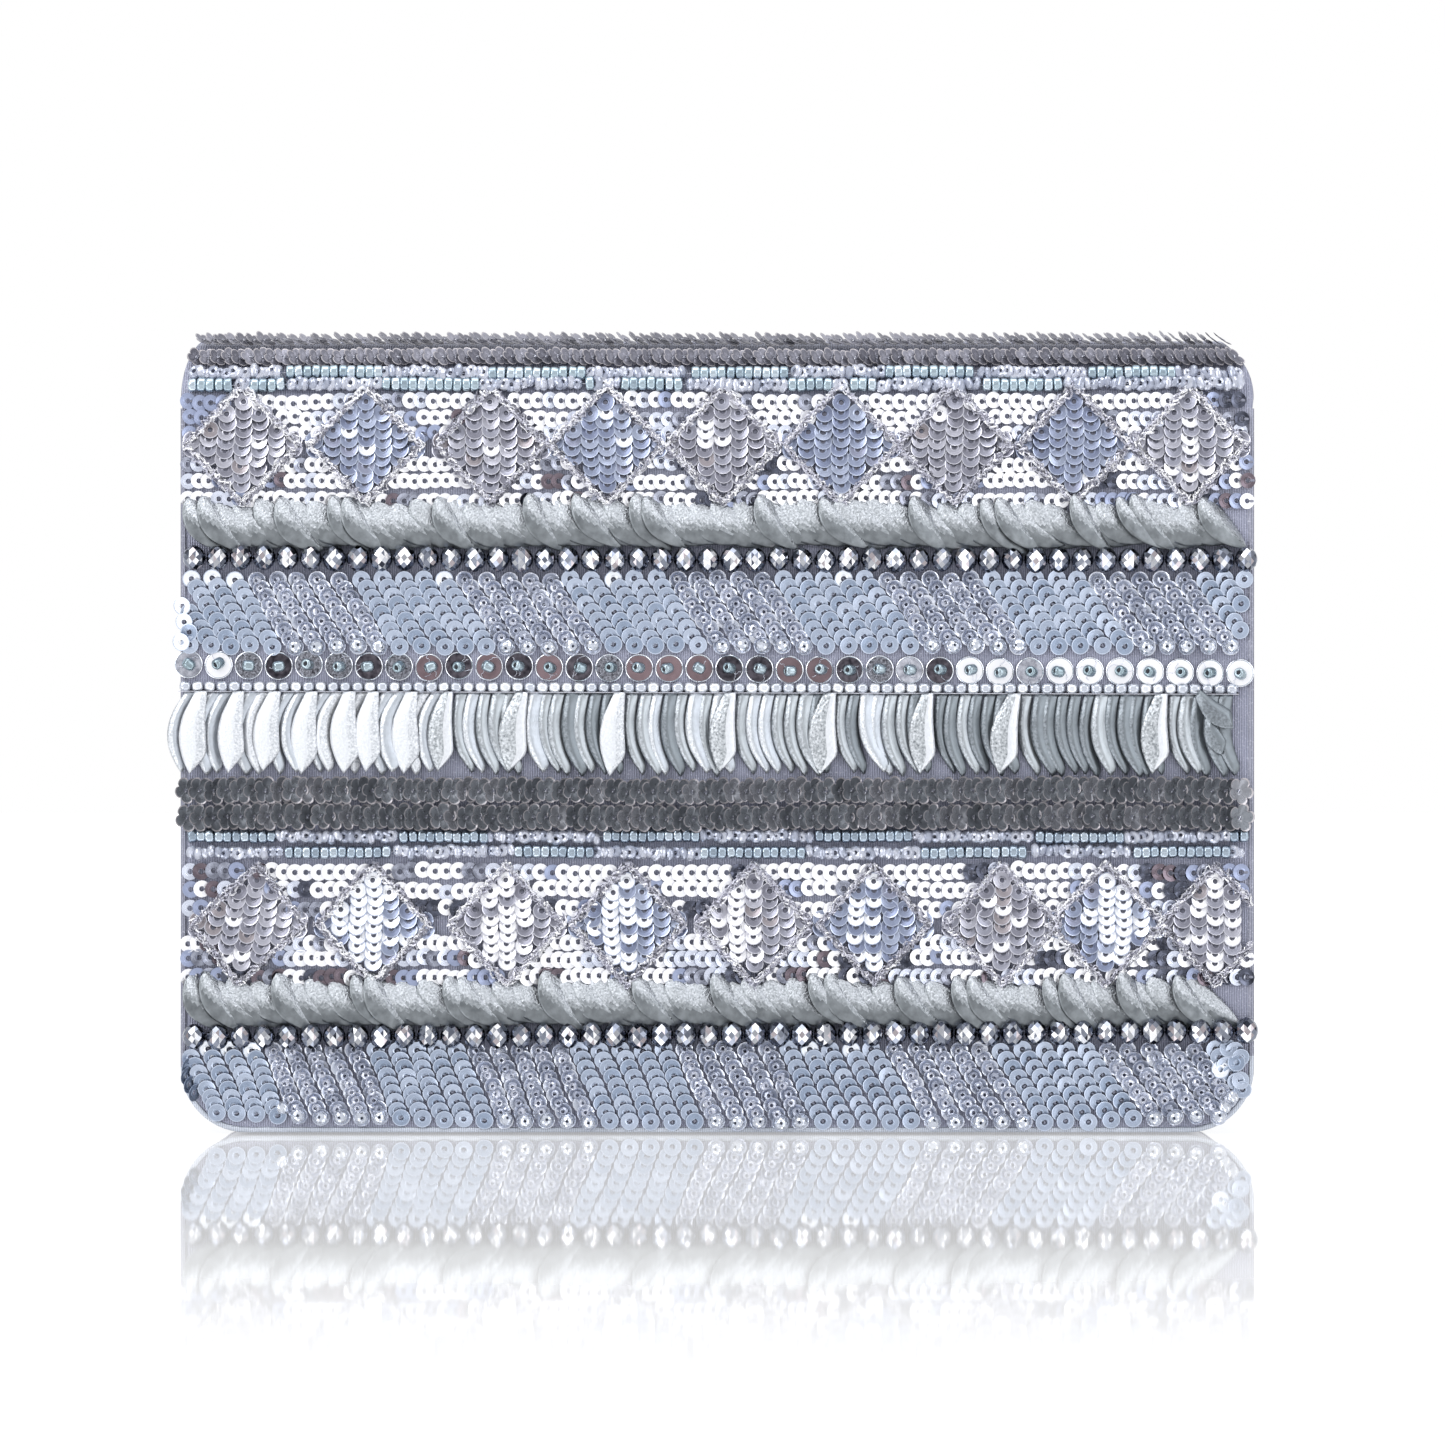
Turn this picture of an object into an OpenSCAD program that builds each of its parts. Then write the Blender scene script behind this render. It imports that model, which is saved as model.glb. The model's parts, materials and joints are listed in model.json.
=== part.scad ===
// Beaded full-flap evening bag, standing upright and closed.
// Millimetres. +Z is up, +X runs along the bag's width, the flap faces -Y.
// The origin is the middle of the footprint, on the surface the bag stands on.
//
// The back, the fold over the top and the flap are one covered wrap. Inside it
// stand a front panel, a base strip and two side gussets that pleat inwards.
// Rows of sequins, beads and hanging leaves are sewn to the flap and the fold.

/* [Bag] */
// Width over the back, fold and flap
bag_w = 230; // [226:1:234]
// Height of the fold's outer skin
bag_h = 171; // [170:0.5:172]
// Depth over the two skins, which is the outside diameter of the fold
bag_d = 32; // [31:0.5:34]
// Radius of the two bottom corners of the body
corner_r = 14; // [11:1:18]
// How far the front panel's mouth edge stops below the start of the fold
mouth_drop = 7; // [5:1:10]
// How deep each side gusset pleats inwards at the mouth
pleat_d = 25; // [25:1:30]

/* [Layers] */
// Thickness of the ribbed metallic cloth
cloth_t = 0.5; // [0.4:0.1:0.6]
// Thickness of the stiff boards and of the foam in the fold
board_t = 1.2; // [1.1:0.1:1.3]
// Thickness of the satin lining
lining_t = 0.5; // [0.4:0.1:0.6]
// Clear space between the closed flap and the front panel
flap_gap = 2.6; // [2.6:0.1:3]
// Width of the binding round the flap's edge
hem_w = 0.8; // [0.6:0.1:1]

/* [Fold] */
// Where the rear crease lies, in degrees from the top towards the flap
crease_rear = -45; // [-48:1:-42]
// Where the top crease lies
crease_top = -3; // [-5:1:-1]
// Where the front crease lies
crease_front = 39; // [39:0.5:40]

/* [Snap] */
// Height of the magnetic snap's centre
snap_z = 48; // [40:1:56]
// Radius of the stud's nub
nub_r = 2.25; // [2:0.05:2.3]
// Radius of the hole that takes the nub
socket_r = 2.9; // [2.8:0.05:3.1]

/* [Beads] */
// Diameter of the faceted mirror beads
facet_d = 5; // [4.4:0.1:5]
// Pitch of the faceted mirror beads
facet_pitch = 5.03; // [5:0.01:5.4]
// Diameter of the seed beads
seed_d = 2.4; // [2:0.1:2.4]
// Pitch of the seed beads
seed_pitch = 2.1; // [2:0.05:2.4]
// Diameter of the large flat discs
disc_d = 6; // [5:0.1:6]
// Pitch of the large flat discs
disc_pitch = 6.3; // [6.2:0.05:6.8]
// Length of the hanging leaves
leaf_l = 17.4; // [15:0.1:17.6]
// Pitch of the hanging leaves
leaf_pitch = 2.64; // [2.6:0.01:3]

/* [Hidden] */
$fn = 48;

e = 0.01;
hw = bag_w / 2;                     // half width
R = bag_d / 2;                      // outer radius of the fold
fc_y = facet_d / 2;                 // the fold's centre
fc_z = bag_h - R;
skin_f = fc_y - R;                  // the flap's outer skin
skin_b = fc_y + R;                  // the back's outer skin
wrap_t = cloth_t + board_t + lining_t;
flap_in = skin_f + wrap_t;          // the flap's inner face
fp_out = flap_in + flap_gap;        // the front panel's outer face
fp_in = fp_out + wrap_t;            // the front panel's inner face
back_in = skin_b - wrap_t;          // the back's inner face
mouth_z = fc_z - mouth_drop;
bhw = hw - 2;                       // half width of the body inside the wrap
gap = 0.15;                         // half the cut between two fold pieces, at the skin
gap_a = gap / R * 180 / PI;
flap_z0 = 0.4;                      // the flap's lower edge
trim_hw = hw - 2;                   // half length of the rows
base_y = (fp_in + back_in) / 2;

// ---- frames -------------------------------------------------------------

// local X is up from the fold's centre, local Y is forwards, local Z is +X
module fold_axes() translate([0, fc_y, fc_z]) rotate(a = 180, v = [1, 0, 1]) children();

// one layer of the fold from angle a0 to a1, its section given as [radius, x];
// the flap's stretch is drawn from its straight end, so that the two meet exactly
module arc(pts, a0, a1) fold_axes()
    if (a1 == 90)
        mirror([0, 1, 0]) rotate([0, 0, -90]) rotate_extrude(angle = 90 - a0, $fn = 96) polygon(pts);
    else
        rotate([0, 0, a0]) rotate_extrude(angle = a1 - a0, $fn = 96) polygon(pts);

// lay a row on the fold: local Z is out of the skin, local -Y is down the front
module on_fold(a) translate([0, fc_y, fc_z]) rotate([a, 0, 0]) translate([0, 0, R]) children();

// lay a row on the flat flap: local X, Y is the flap's X, Z, local Z is outwards
module on_flap(z = 0) translate([0, skin_f, z]) rotate([90, 0, 0]) children();

// a flat sheet in the X-Z plane, from y0 to y1
module sheet(y0, y1) translate([0, y1, 0]) rotate([90, 0, 0]) linear_extrude(y1 - y0) children();

// a round cut along Y at height z
module drill(x, z, r, y0, y1) translate([x, y1, z]) rotate([90, 0, 0]) cylinder(r = r, h = y1 - y0);

// ---- outlines -----------------------------------------------------------

// a panel with two round bottom corners
module outline(w2, z0, z1, r) {
    translate([-w2, z0 + r]) square([2 * w2, z1 - z0 - r]);
    translate([-w2 + r, z0]) square([2 * (w2 - r), r + e]);
    for (s = [-1, 1]) translate([s * (w2 - r), z0 + r]) circle(r);
}

module back_outline(i = 0, top = fc_z) outline(hw - i, i, top, corner_r + 2 - i);
module body_outline(i = 0, top = mouth_z) outline(bhw - i, i, top, corner_r - i);
module flap_outline(i = 0, top = fc_z) outline(hw - i, flap_z0 + i, top, corner_r - i);

function cover_pts() = [
    [R, -hw], [R, hw], [R - cloth_t - board_t, hw], [R - cloth_t - board_t, hw - cloth_t],
    [R - cloth_t, hw - cloth_t], [R - cloth_t, -hw + cloth_t],
    [R - cloth_t - board_t, -hw + cloth_t], [R - cloth_t - board_t, -hw]];
function layer_pts(r0, r1, w2) = [[r1, -w2], [r1, w2], [r0, w2], [r0, -w2]];
function foam_pts() = layer_pts(R - cloth_t - board_t, R - cloth_t, hw - cloth_t);
function lining_pts() = layer_pts(R - wrap_t, R - cloth_t - board_t, hw - 0.8);

// ---- back ---------------------------------------------------------------

module back_board() color([0.62, 0.58, 0.52])
    sheet(skin_b - cloth_t - board_t, skin_b - cloth_t) back_outline(cloth_t, fc_z - 1);

module back_fold_foam() color([0.9, 0.9, 0.86]) arc(foam_pts(), -90, crease_rear - gap_a);

module back_cover() color([0.72, 0.71, 0.76]) {
    difference() {
        sheet(skin_b - cloth_t - board_t, skin_b) back_outline();
        sheet(skin_b - cloth_t - board_t - 1, skin_b - cloth_t) back_outline(cloth_t, fc_z + 1);
    }
    arc(cover_pts(), -90, crease_rear - gap_a);
}

module back_lining() color([0.78, 0.78, 0.8]) {
    sheet(back_in, skin_b - cloth_t - board_t) back_outline(0.8);
    arc(lining_pts(), -90, crease_rear - gap_a);
}

// an open-topped pocket sewn to the back lining on three sides
module slip_pocket() color([0.76, 0.76, 0.79]) difference() {
    sheet(back_in - 1, back_in) translate([-70, 36]) square([140, 70]);
    sheet(back_in - 0.6, back_in + 1) translate([-68, 38]) square([136, 70]);
}

// ---- base ---------------------------------------------------------------

module base_board() color([0.62, 0.58, 0.52])
    translate([-(bhw - corner_r - 1), fp_in, cloth_t]) cube([2 * (bhw - corner_r - 1), back_in - fp_in, board_t]);

// one strip from seam to seam, turned up round both bottom corners
module base_cover() color([0.72, 0.71, 0.76]) sheet(fp_in, back_in) difference() {
    intersection() {
        body_outline();
        translate([-bhw, 0]) square([2 * bhw, corner_r]);
    }
    body_outline(cloth_t);
}

module base_lining() color([0.78, 0.78, 0.8]) sheet(fp_in, back_in) {
    c = bhw - corner_r;
    difference() {
        intersection() {
            body_outline(cloth_t);
            union() for (s = [-1, 1]) translate([s > 0 ? c - 1 + e : -bhw, 0]) square([corner_r + 1 - e, corner_r]);
        }
        body_outline(cloth_t + lining_t);
    }
    for (s = [-1, 1]) translate([s > 0 ? c - 1 + e : -c + 1 - e - lining_t, cloth_t]) square([lining_t, board_t + lining_t]);
    translate([-c + 1 - e - lining_t / 2, cloth_t + board_t]) square([2 * (c - 1 + e) + lining_t, lining_t]);
}

// ---- gussets ------------------------------------------------------------

// a sheet that hangs from both seams and pleats inwards towards the mouth;
// o is how far inside the seam line it starts, t is its thickness
function pleat(u, v) = pleat_d * v * (1 - abs(2 * u - 1));
module gusset(s, o, t) {
    nu = 6; nv = 4;
    z0 = corner_r; z1 = mouth_z;
    pt = [for (k = [0, 1]) for (j = [0:nv]) for (i = [0:nu])
        let (u = i / nu, v = j / nv)
        [s * (bhw - o - k * t - pleat(u, v)), fp_in + (back_in - fp_in) * u, z0 + (z1 - z0) * v]];
    n = (nu + 1) * (nv + 1);
    function id(k, j, i) = k * n + j * (nu + 1) + i;
    quads = concat(
        [for (j = [0:nv - 1]) for (i = [0:nu - 1]) [id(0, j, i), id(0, j + 1, i), id(0, j + 1, i + 1), id(0, j, i + 1)]],
        [for (j = [0:nv - 1]) for (i = [0:nu - 1]) [id(1, j, i), id(1, j, i + 1), id(1, j + 1, i + 1), id(1, j + 1, i)]],
        [for (i = [0:nu - 1]) [id(0, 0, i), id(0, 0, i + 1), id(1, 0, i + 1), id(1, 0, i)]],
        [for (i = [0:nu - 1]) [id(0, nv, i), id(1, nv, i), id(1, nv, i + 1), id(0, nv, i + 1)]],
        [for (j = [0:nv - 1]) [id(0, j, 0), id(1, j, 0), id(1, j + 1, 0), id(0, j + 1, 0)]],
        [for (j = [0:nv - 1]) [id(0, j, nu), id(0, j + 1, nu), id(1, j + 1, nu), id(1, j, nu)]]);
    tris = [for (q = quads) each [[q[0], q[1], q[2]], [q[0], q[2], q[3]]]];
    polyhedron(pt, s > 0 ? tris : [for (f = tris) [f[0], f[2], f[1]]]);
}

module side_gusset_left() color([0.72, 0.71, 0.76]) gusset(-1, 0, cloth_t);
module side_gusset_right() color([0.72, 0.71, 0.76]) gusset(1, 0, cloth_t);
module gusset_lining_left() color([0.78, 0.78, 0.8]) gusset(-1, cloth_t, lining_t);
module gusset_lining_right() color([0.78, 0.78, 0.8]) gusset(1, cloth_t, lining_t);

// ---- front panel and its half of the snap -------------------------------

module front_cover() color([0.72, 0.71, 0.76]) difference() {
    sheet(fp_out, fp_out + cloth_t + board_t) body_outline();
    sheet(fp_out + cloth_t, fp_out + cloth_t + board_t + 1) body_outline(cloth_t, mouth_z - cloth_t);
    for (s = [-1, 1]) translate([s * 8.7 - 0.3, fp_out - 1, snap_z - 1.2]) cube([0.6, 2, 2.4]);
}

module front_board() color([0.62, 0.58, 0.52]) difference() {
    sheet(fp_out + cloth_t, fp_out + cloth_t + board_t) body_outline(cloth_t, mouth_z - cloth_t);
    drill(0, snap_z, 10.6, fp_out + cloth_t + board_t - 0.5, fp_out + cloth_t + board_t + 1);
    for (s = [-1, 1]) translate([s * 8.7 - 0.3, fp_out, snap_z - 1.2]) cube([0.6, 3, 2.4]);
}

module front_lining() color([0.78, 0.78, 0.8])
    sheet(fp_out + cloth_t + board_t, fp_in) body_outline(0.8, mouth_z - 0.8);

// a ring magnet inside the socket's cup
module snap_magnet() color([0.5, 0.5, 0.52]) difference() {
    drill(0, snap_z, 8.4, fp_out - 1.35, fp_out - 0.05);
    drill(0, snap_z, socket_r + 0.1, fp_out - 3, fp_out + 2);
}

// a thin cup, open towards the panel, with a hole for the nub and two prongs
module snap_socket() color([0.8, 0.8, 0.82]) {
    difference() {
        drill(0, snap_z, 9, fp_out - 1.8, fp_out);
        drill(0, snap_z, 8.5, fp_out - 1.4, fp_out + 1);
        drill(0, snap_z, socket_r, fp_out - 3, fp_out);
    }
    for (s = [-1, 1]) translate([s * 8.7 - 0.2, fp_out - 0.5, snap_z - 1])
        cube([0.4, cloth_t + board_t + 0.4, 2]);
}

module snap_socket_plate() color([0.8, 0.8, 0.82]) difference() {
    drill(0, snap_z, 10.5, fp_out + cloth_t + board_t - 0.5, fp_out + cloth_t + board_t);
    for (s = [-1, 1]) translate([s * 8.7 - 0.3, fp_out, snap_z - 1.2]) cube([0.6, 3, 2.4]);
}

// ---- fold ---------------------------------------------------------------

module fold_rear_foam() color([0.9, 0.9, 0.86]) arc(foam_pts(), crease_rear + gap_a, crease_top - gap_a);
module fold_rear_cover() color([0.72, 0.71, 0.76]) arc(cover_pts(), crease_rear + gap_a, crease_top - gap_a);
module fold_rear_lining() color([0.78, 0.78, 0.8]) arc(lining_pts(), crease_rear + gap_a, crease_top - gap_a);
module fold_front_foam() color([0.9, 0.9, 0.86]) arc(foam_pts(), crease_top + gap_a, crease_front - gap_a);
module fold_front_cover() color([0.72, 0.71, 0.76]) arc(cover_pts(), crease_top + gap_a, crease_front - gap_a);
module fold_front_lining() color([0.78, 0.78, 0.8]) arc(lining_pts(), crease_top + gap_a, crease_front - gap_a);

// ---- flap and its half of the snap --------------------------------------

module flap_hem() color([0.56, 0.6, 0.68]) sheet(skin_f, flap_in) difference() {
    flap_outline();
    flap_outline(hem_w, fc_z + 1);
}

module flap_cover() color([0.72, 0.71, 0.76]) {
    difference() {
        sheet(skin_f, skin_f + cloth_t + board_t) flap_outline(hem_w);
        sheet(skin_f + cloth_t, skin_f + cloth_t + board_t + 1) flap_outline(hem_w + cloth_t, fc_z + 1);
    }
    arc(cover_pts(), crease_front + gap_a, 90);
}

module flap_board() color([0.62, 0.58, 0.52]) difference() {
    sheet(skin_f + cloth_t, skin_f + cloth_t + board_t) flap_outline(hem_w + cloth_t, fc_z - 1);
    drill(0, snap_z, 8.1, skin_f, skin_f + cloth_t + 0.5);
    for (s = [-1, 1]) translate([s * 4 - 0.45, skin_f, snap_z - 1.7]) cube([0.9, 3, 3.4]);
}

module flap_fold_foam() color([0.9, 0.9, 0.86]) arc(foam_pts(), crease_front + gap_a, 90);

module flap_lining() color([0.78, 0.78, 0.8]) {
    difference() {
        sheet(skin_f + cloth_t + board_t, flap_in) flap_outline(hem_w);
        for (s = [-1, 1]) translate([s * 4 - 0.45, skin_f, snap_z - 1.7]) cube([0.9, 3, 3.4]);
    }
    arc(lining_pts(), crease_front + gap_a, 90);
}

module snap_stud() color([0.8, 0.8, 0.82]) {
    drill(0, snap_z, 7, flap_in, flap_in + 0.6);
    drill(0, snap_z, nub_r, flap_in + 0.5, flap_in + flap_gap - 0.1);
    for (s = [-1, 1]) translate([s * 4 - 0.25, skin_f + cloth_t + 0.1, snap_z - 1.5]) cube([0.5, wrap_t - cloth_t, 3]);
}

module snap_stud_plate() color([0.8, 0.8, 0.82]) difference() {
    drill(0, snap_z, 8, skin_f + cloth_t, skin_f + cloth_t + 0.5);
    for (s = [-1, 1]) translate([s * 4 - 0.35, skin_f, snap_z - 1.6]) cube([0.7, 3, 3.2]);
}

// ---- rows of trim -------------------------------------------------------

// beads of one string along X: n beads from x0, barrel shaped round a thread
module bead_string(x0, n, p, d, waist = 0.72, flat = 0.2) {
    c = 0.3;
    rotate([0, 90, 0]) rotate_extrude($fn = 20) polygon(concat(
        [[0, x0]],
        [for (i = [0:n - 1]) let (x = x0 + i * p) each [
            [c, x + 0.04 * p], [d / 2 * waist, x + 0.06 * p], [d / 2, x + (0.5 - flat) * p],
            [d / 2, x + (0.5 + flat) * p], [d / 2 * waist, x + 0.94 * p], [c, x + 0.96 * p]]],
        [[0, x0 + n * p]]));
}

// a row split into alternating runs; a run takes every bead whose place in the
// repeat falls inside the first `on` beads after a shift
module bead_runs(n_all, on, off, shift, p, d, waist, flat, want) {
    per = on + off;
    x0 = -n_all * p / 2;
    for (k = [-1:ceil(n_all / per)]) {
        a = k * per + shift + (want ? 0 : on);
        b = a + (want ? on : off);
        a1 = max(0, a);
        b1 = min(n_all, b);
        if (b1 - a1 >= 1) bead_string(x0 + a1 * p + 0.1, b1 - a1, p - 0.2 / (b1 - a1), d, waist, flat);
    }
}

n_seed = floor(2 * trim_hw / seed_pitch);
seed_on = 10;
seed_off = 10;

// two rows whose metallic and clear runs lie the other way round
module seed_rows(metal, top) {
    if (top) {
        on_fold(62) translate([0, 0, seed_d / 2]) bead_runs(n_seed, seed_on, seed_off, 7, seed_pitch, seed_d, 0.8, 0.3, metal);
        on_fold(74) translate([0, 0, seed_d / 2]) bead_runs(n_seed, seed_on, seed_off, -3, seed_pitch, seed_d, 0.8, 0.3, metal);
    } else {
        on_flap(63.9) translate([0, 0, seed_d / 2]) bead_runs(n_seed, seed_on, seed_off, 0, seed_pitch, seed_d, 0.8, 0.3, metal);
        on_flap(60.3) translate([0, 0, seed_d / 2]) bead_runs(n_seed, seed_on, seed_off, 10, seed_pitch, seed_d, 0.8, 0.3, metal);
    }
}

// flower sequins standing like roof tiles, h high and w deep
module flower_row(w, h, p = 2.85) {
    n = floor(2 * trim_hw / p);
    x0 = -n * p / 2;
    translate([0, w / 2, 0]) rotate([90, 0, 0]) linear_extrude(w) polygon(concat(
        [[x0, 0]],
        [for (i = [0:n - 1]) each [[x0 + i * p, 0.8], [x0 + (i + 0.8) * p, h]]],
        [[x0 + n * p, 0.8], [x0 + n * p, 0]]));
}

function rhomb(w, h, k = 1) = [[0, h / 2 * k], [w / 2 * k, 0], [0, -h / 2 * k], [-w / 2 * k, 0]];

dia_w = 23.8;
dia_p = 25.4;
// centre height, height, shift along X, and the band's two edges
top_band = [148.6, 25.4, 0, 136.4, 158];
low_band = [45.3, 26.4, 2.4, 32, 58.4];

module dia_at(b, i) translate([b[2] + (i - 4) * dia_p, b[0]]) children();
module dia_clip(b) intersection() {
    children();
    translate([-trim_hw, b[3]]) square([2 * trim_hw, b[4] - b[3]]);
}

module diamonds(b, odd) on_flap() linear_extrude(1.4) dia_clip(b)
    for (i = [odd:2:8]) dia_at(b, i) polygon(rhomb(dia_w, b[1], 0.8));

module diamond_cord(b) on_flap() linear_extrude(2) dia_clip(b)
    for (i = [0:8]) dia_at(b, i) difference() {
        polygon(rhomb(dia_w, b[1]));
        polygon(rhomb(dia_w, b[1], 0.82));
    }

module mirror_sequins(b) on_flap() linear_extrude(1) difference() {
    translate([-trim_hw, b[3] + 0.5]) square([2 * trim_hw, b[4] - b[3] - 1]);
    for (i = [0:8]) dia_at(b, i) polygon(rhomb(dia_w, b[1], 1.04));
}

// leaves laid slanting, each a pointed oval
module leaf_row(z, h) on_flap() linear_extrude(1.5) {
    p = 4.6;
    n = floor((2 * trim_hw - h) / p);
    for (i = [0:n - 1]) translate([-(n - 1) * p / 2 + i * p, z]) rotate([0, 0, 42])
        polygon([for (a = [0:30:330]) [1.45 * sin(a) * (1 - 0.2 * abs(cos(a))), (h - 1.6) / 2 / cos(42) * cos(a)]]);
}

module faceted_row(z) on_flap(z) translate([0, 0, facet_d / 2]) {
    n = floor(2 * trim_hw / facet_pitch);
    bead_string(-n * facet_pitch / 2, n, facet_pitch, facet_d, 0.5, 0.18);
}

// slanting columns: m is which of the ten columns of a repeat are drawn,
// z1 and z0 are the band's edges, dx is how far a column leans to +X
st_p = 4.53;
st_w = 3.9;
module stripe_cols(z1, z0, dx, first, m, i0, i1, h) on_flap() linear_extrude(h) intersection() {
    flap_outline(1.2);
    union() for (i = [i0:i1]) {
        k = (i + 100) % 10;
        x = first + i * st_p;
        s0 = max(0, (-trim_hw - x) / dx);
        s1 = min(1, (trim_hw - st_w - x) / dx);
        if ((k < 4) == m && s1 - s0 > 0.15)
            polygon([[x + dx * s0, z1 - (z1 - z0) * s0], [x + dx * s0 + st_w, z1 - (z1 - z0) * s0],
                     [x + dx * s1 + st_w, z1 - (z1 - z0) * s1], [x + dx * s1, z1 - (z1 - z0) * s1]]);
    }
}

module discs() {
    n = floor(2 * trim_hw / disc_pitch);
    for (i = [0:n - 1]) translate([(i - (n - 1) / 2) * disc_pitch, 0, 0]) children();
}

fringe_z = 95.5;
fringe_h = 1.1;

// ---- trim on the fold and the flap --------------------------------------

module flowers_fold() color([0.42, 0.42, 0.46]) on_fold(28) flower_row(4.2, 2.4);
module flowers_top() color([0.42, 0.42, 0.46]) on_fold(49.6) flower_row(4, 2);
module seed_beads_top() color([0.75, 0.84, 0.84]) seed_rows(true, true);
module clear_beads_top() color([0.85, 0.87, 0.93, 0.7]) seed_rows(false, true);
module mirror_sequins_top() color([0.88, 0.89, 0.95]) mirror_sequins(top_band);
module diamonds_warm_top() color([0.72, 0.69, 0.68]) diamonds(top_band, 0);
module diamonds_blue_top() color([0.68, 0.7, 0.85]) diamonds(top_band, 1);
module diamond_cord_top() color([0.8, 0.8, 0.84]) diamond_cord(top_band);
module leaf_row_top() color([0.74, 0.74, 0.7]) leaf_row(131, 9.6);
module faceted_beads_top() color([0.45, 0.47, 0.5]) faceted_row(123.4);
module stripe_sequins_top() color([0.62, 0.7, 0.8]) stripe_cols(120.4, 103.4, 9.4, -77.7, true, -12, 45, 1.3);
module stripe_beads_top() color([0.8, 0.82, 0.88]) stripe_cols(120.4, 103.4, 9.4, -77.7, false, -12, 45, 1.7);
module disc_sequins() color([0.6, 0.56, 0.58]) on_flap(99.6) discs() cylinder(d = disc_d, h = 0.7);
module disc_beads() color([0.75, 0.82, 0.85]) on_flap(99.6) discs() translate([0, 0, 0.7]) cylinder(d = 2.3, h = 1.5, $fn = 24);
module fringe_beads() color([0.86, 0.88, 0.92]) on_flap(fringe_z) translate([0, 0, fringe_h]) {
    n = floor(2 * trim_hw / leaf_pitch);
    bead_string(-n * leaf_pitch / 2, n, leaf_pitch, 2, 0.7, 0.25);
}
module flowers_mid() color([0.42, 0.42, 0.46]) {
    on_flap(73.7) flower_row(4.4, 2.2);
    on_flap(67.9) flower_row(4.4, 2.2);
}
module seed_beads_low() color([0.75, 0.84, 0.84]) seed_rows(true, false);
module clear_beads_low() color([0.85, 0.87, 0.93, 0.7]) seed_rows(false, false);
module mirror_sequins_low() color([0.88, 0.89, 0.95]) mirror_sequins(low_band);
module diamonds_warm_low() color([0.72, 0.69, 0.68]) diamonds(low_band, 0);
module diamonds_blue_low() color([0.68, 0.7, 0.85]) diamonds(low_band, 1);
module diamond_cord_low() color([0.8, 0.8, 0.84]) diamond_cord(low_band);
module leaf_row_low() color([0.74, 0.74, 0.7]) leaf_row(28, 7.6);
module faceted_beads_low() color([0.45, 0.47, 0.5]) faceted_row(21.6);
module stripe_sequins_low() color([0.62, 0.7, 0.8]) stripe_cols(18.9, 1.6, 8.4, -72.7, true, -12, 45, 1.3);
module stripe_beads_low() color([0.8, 0.82, 0.88]) stripe_cols(18.9, 1.6, 8.4, -72.7, false, -12, 45, 1.7);

// each leaf hangs under its bead, turned most of the way edge-on
module fringe_leaves() color([0.72, 0.73, 0.76]) {
    n = floor(2 * trim_hw / leaf_pitch);
    for (i = [0:n - 1])
        translate([(i - (n - 1) / 2) * leaf_pitch, skin_f - 2.15, fringe_z - 1.3]) rotate([0, 0, 60]) rotate([90, 0, 0])
            translate([0, 0, -0.18]) linear_extrude(0.36) polygon([
                [-0.6, 0], [0.6, 0], [1.2, -0.35 * leaf_l], [1.9, -0.7 * leaf_l], [1.1, -0.92 * leaf_l],
                [0, -leaf_l], [-1.1, -0.92 * leaf_l], [-1.9, -0.7 * leaf_l], [-1.2, -0.35 * leaf_l]]);
}

back_board();
back_fold_foam();
back_cover();
back_lining();
slip_pocket();
base_board();
base_cover();
base_lining();
side_gusset_left();
side_gusset_right();
gusset_lining_left();
gusset_lining_right();
front_board();
front_cover();
front_lining();
snap_socket();
snap_magnet();
snap_socket_plate();
fold_rear_foam();
fold_rear_cover();
fold_rear_lining();
fold_front_foam();
fold_front_cover();
fold_front_lining();
flowers_fold();
flap_board();
flap_fold_foam();
flap_cover();
flap_lining();
flap_hem();
snap_stud();
snap_stud_plate();
flowers_top();
seed_beads_top();
clear_beads_top();
mirror_sequins_top();
diamonds_warm_top();
diamonds_blue_top();
diamond_cord_top();
leaf_row_top();
faceted_beads_top();
stripe_sequins_top();
stripe_beads_top();
disc_sequins();
disc_beads();
fringe_beads();
flowers_mid();
seed_beads_low();
clear_beads_low();
mirror_sequins_low();
diamonds_warm_low();
diamonds_blue_low();
diamond_cord_low();
leaf_row_low();
faceted_beads_low();
stripe_sequins_low();
stripe_beads_low();
fringe_leaves();
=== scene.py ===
import json
import math

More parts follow.
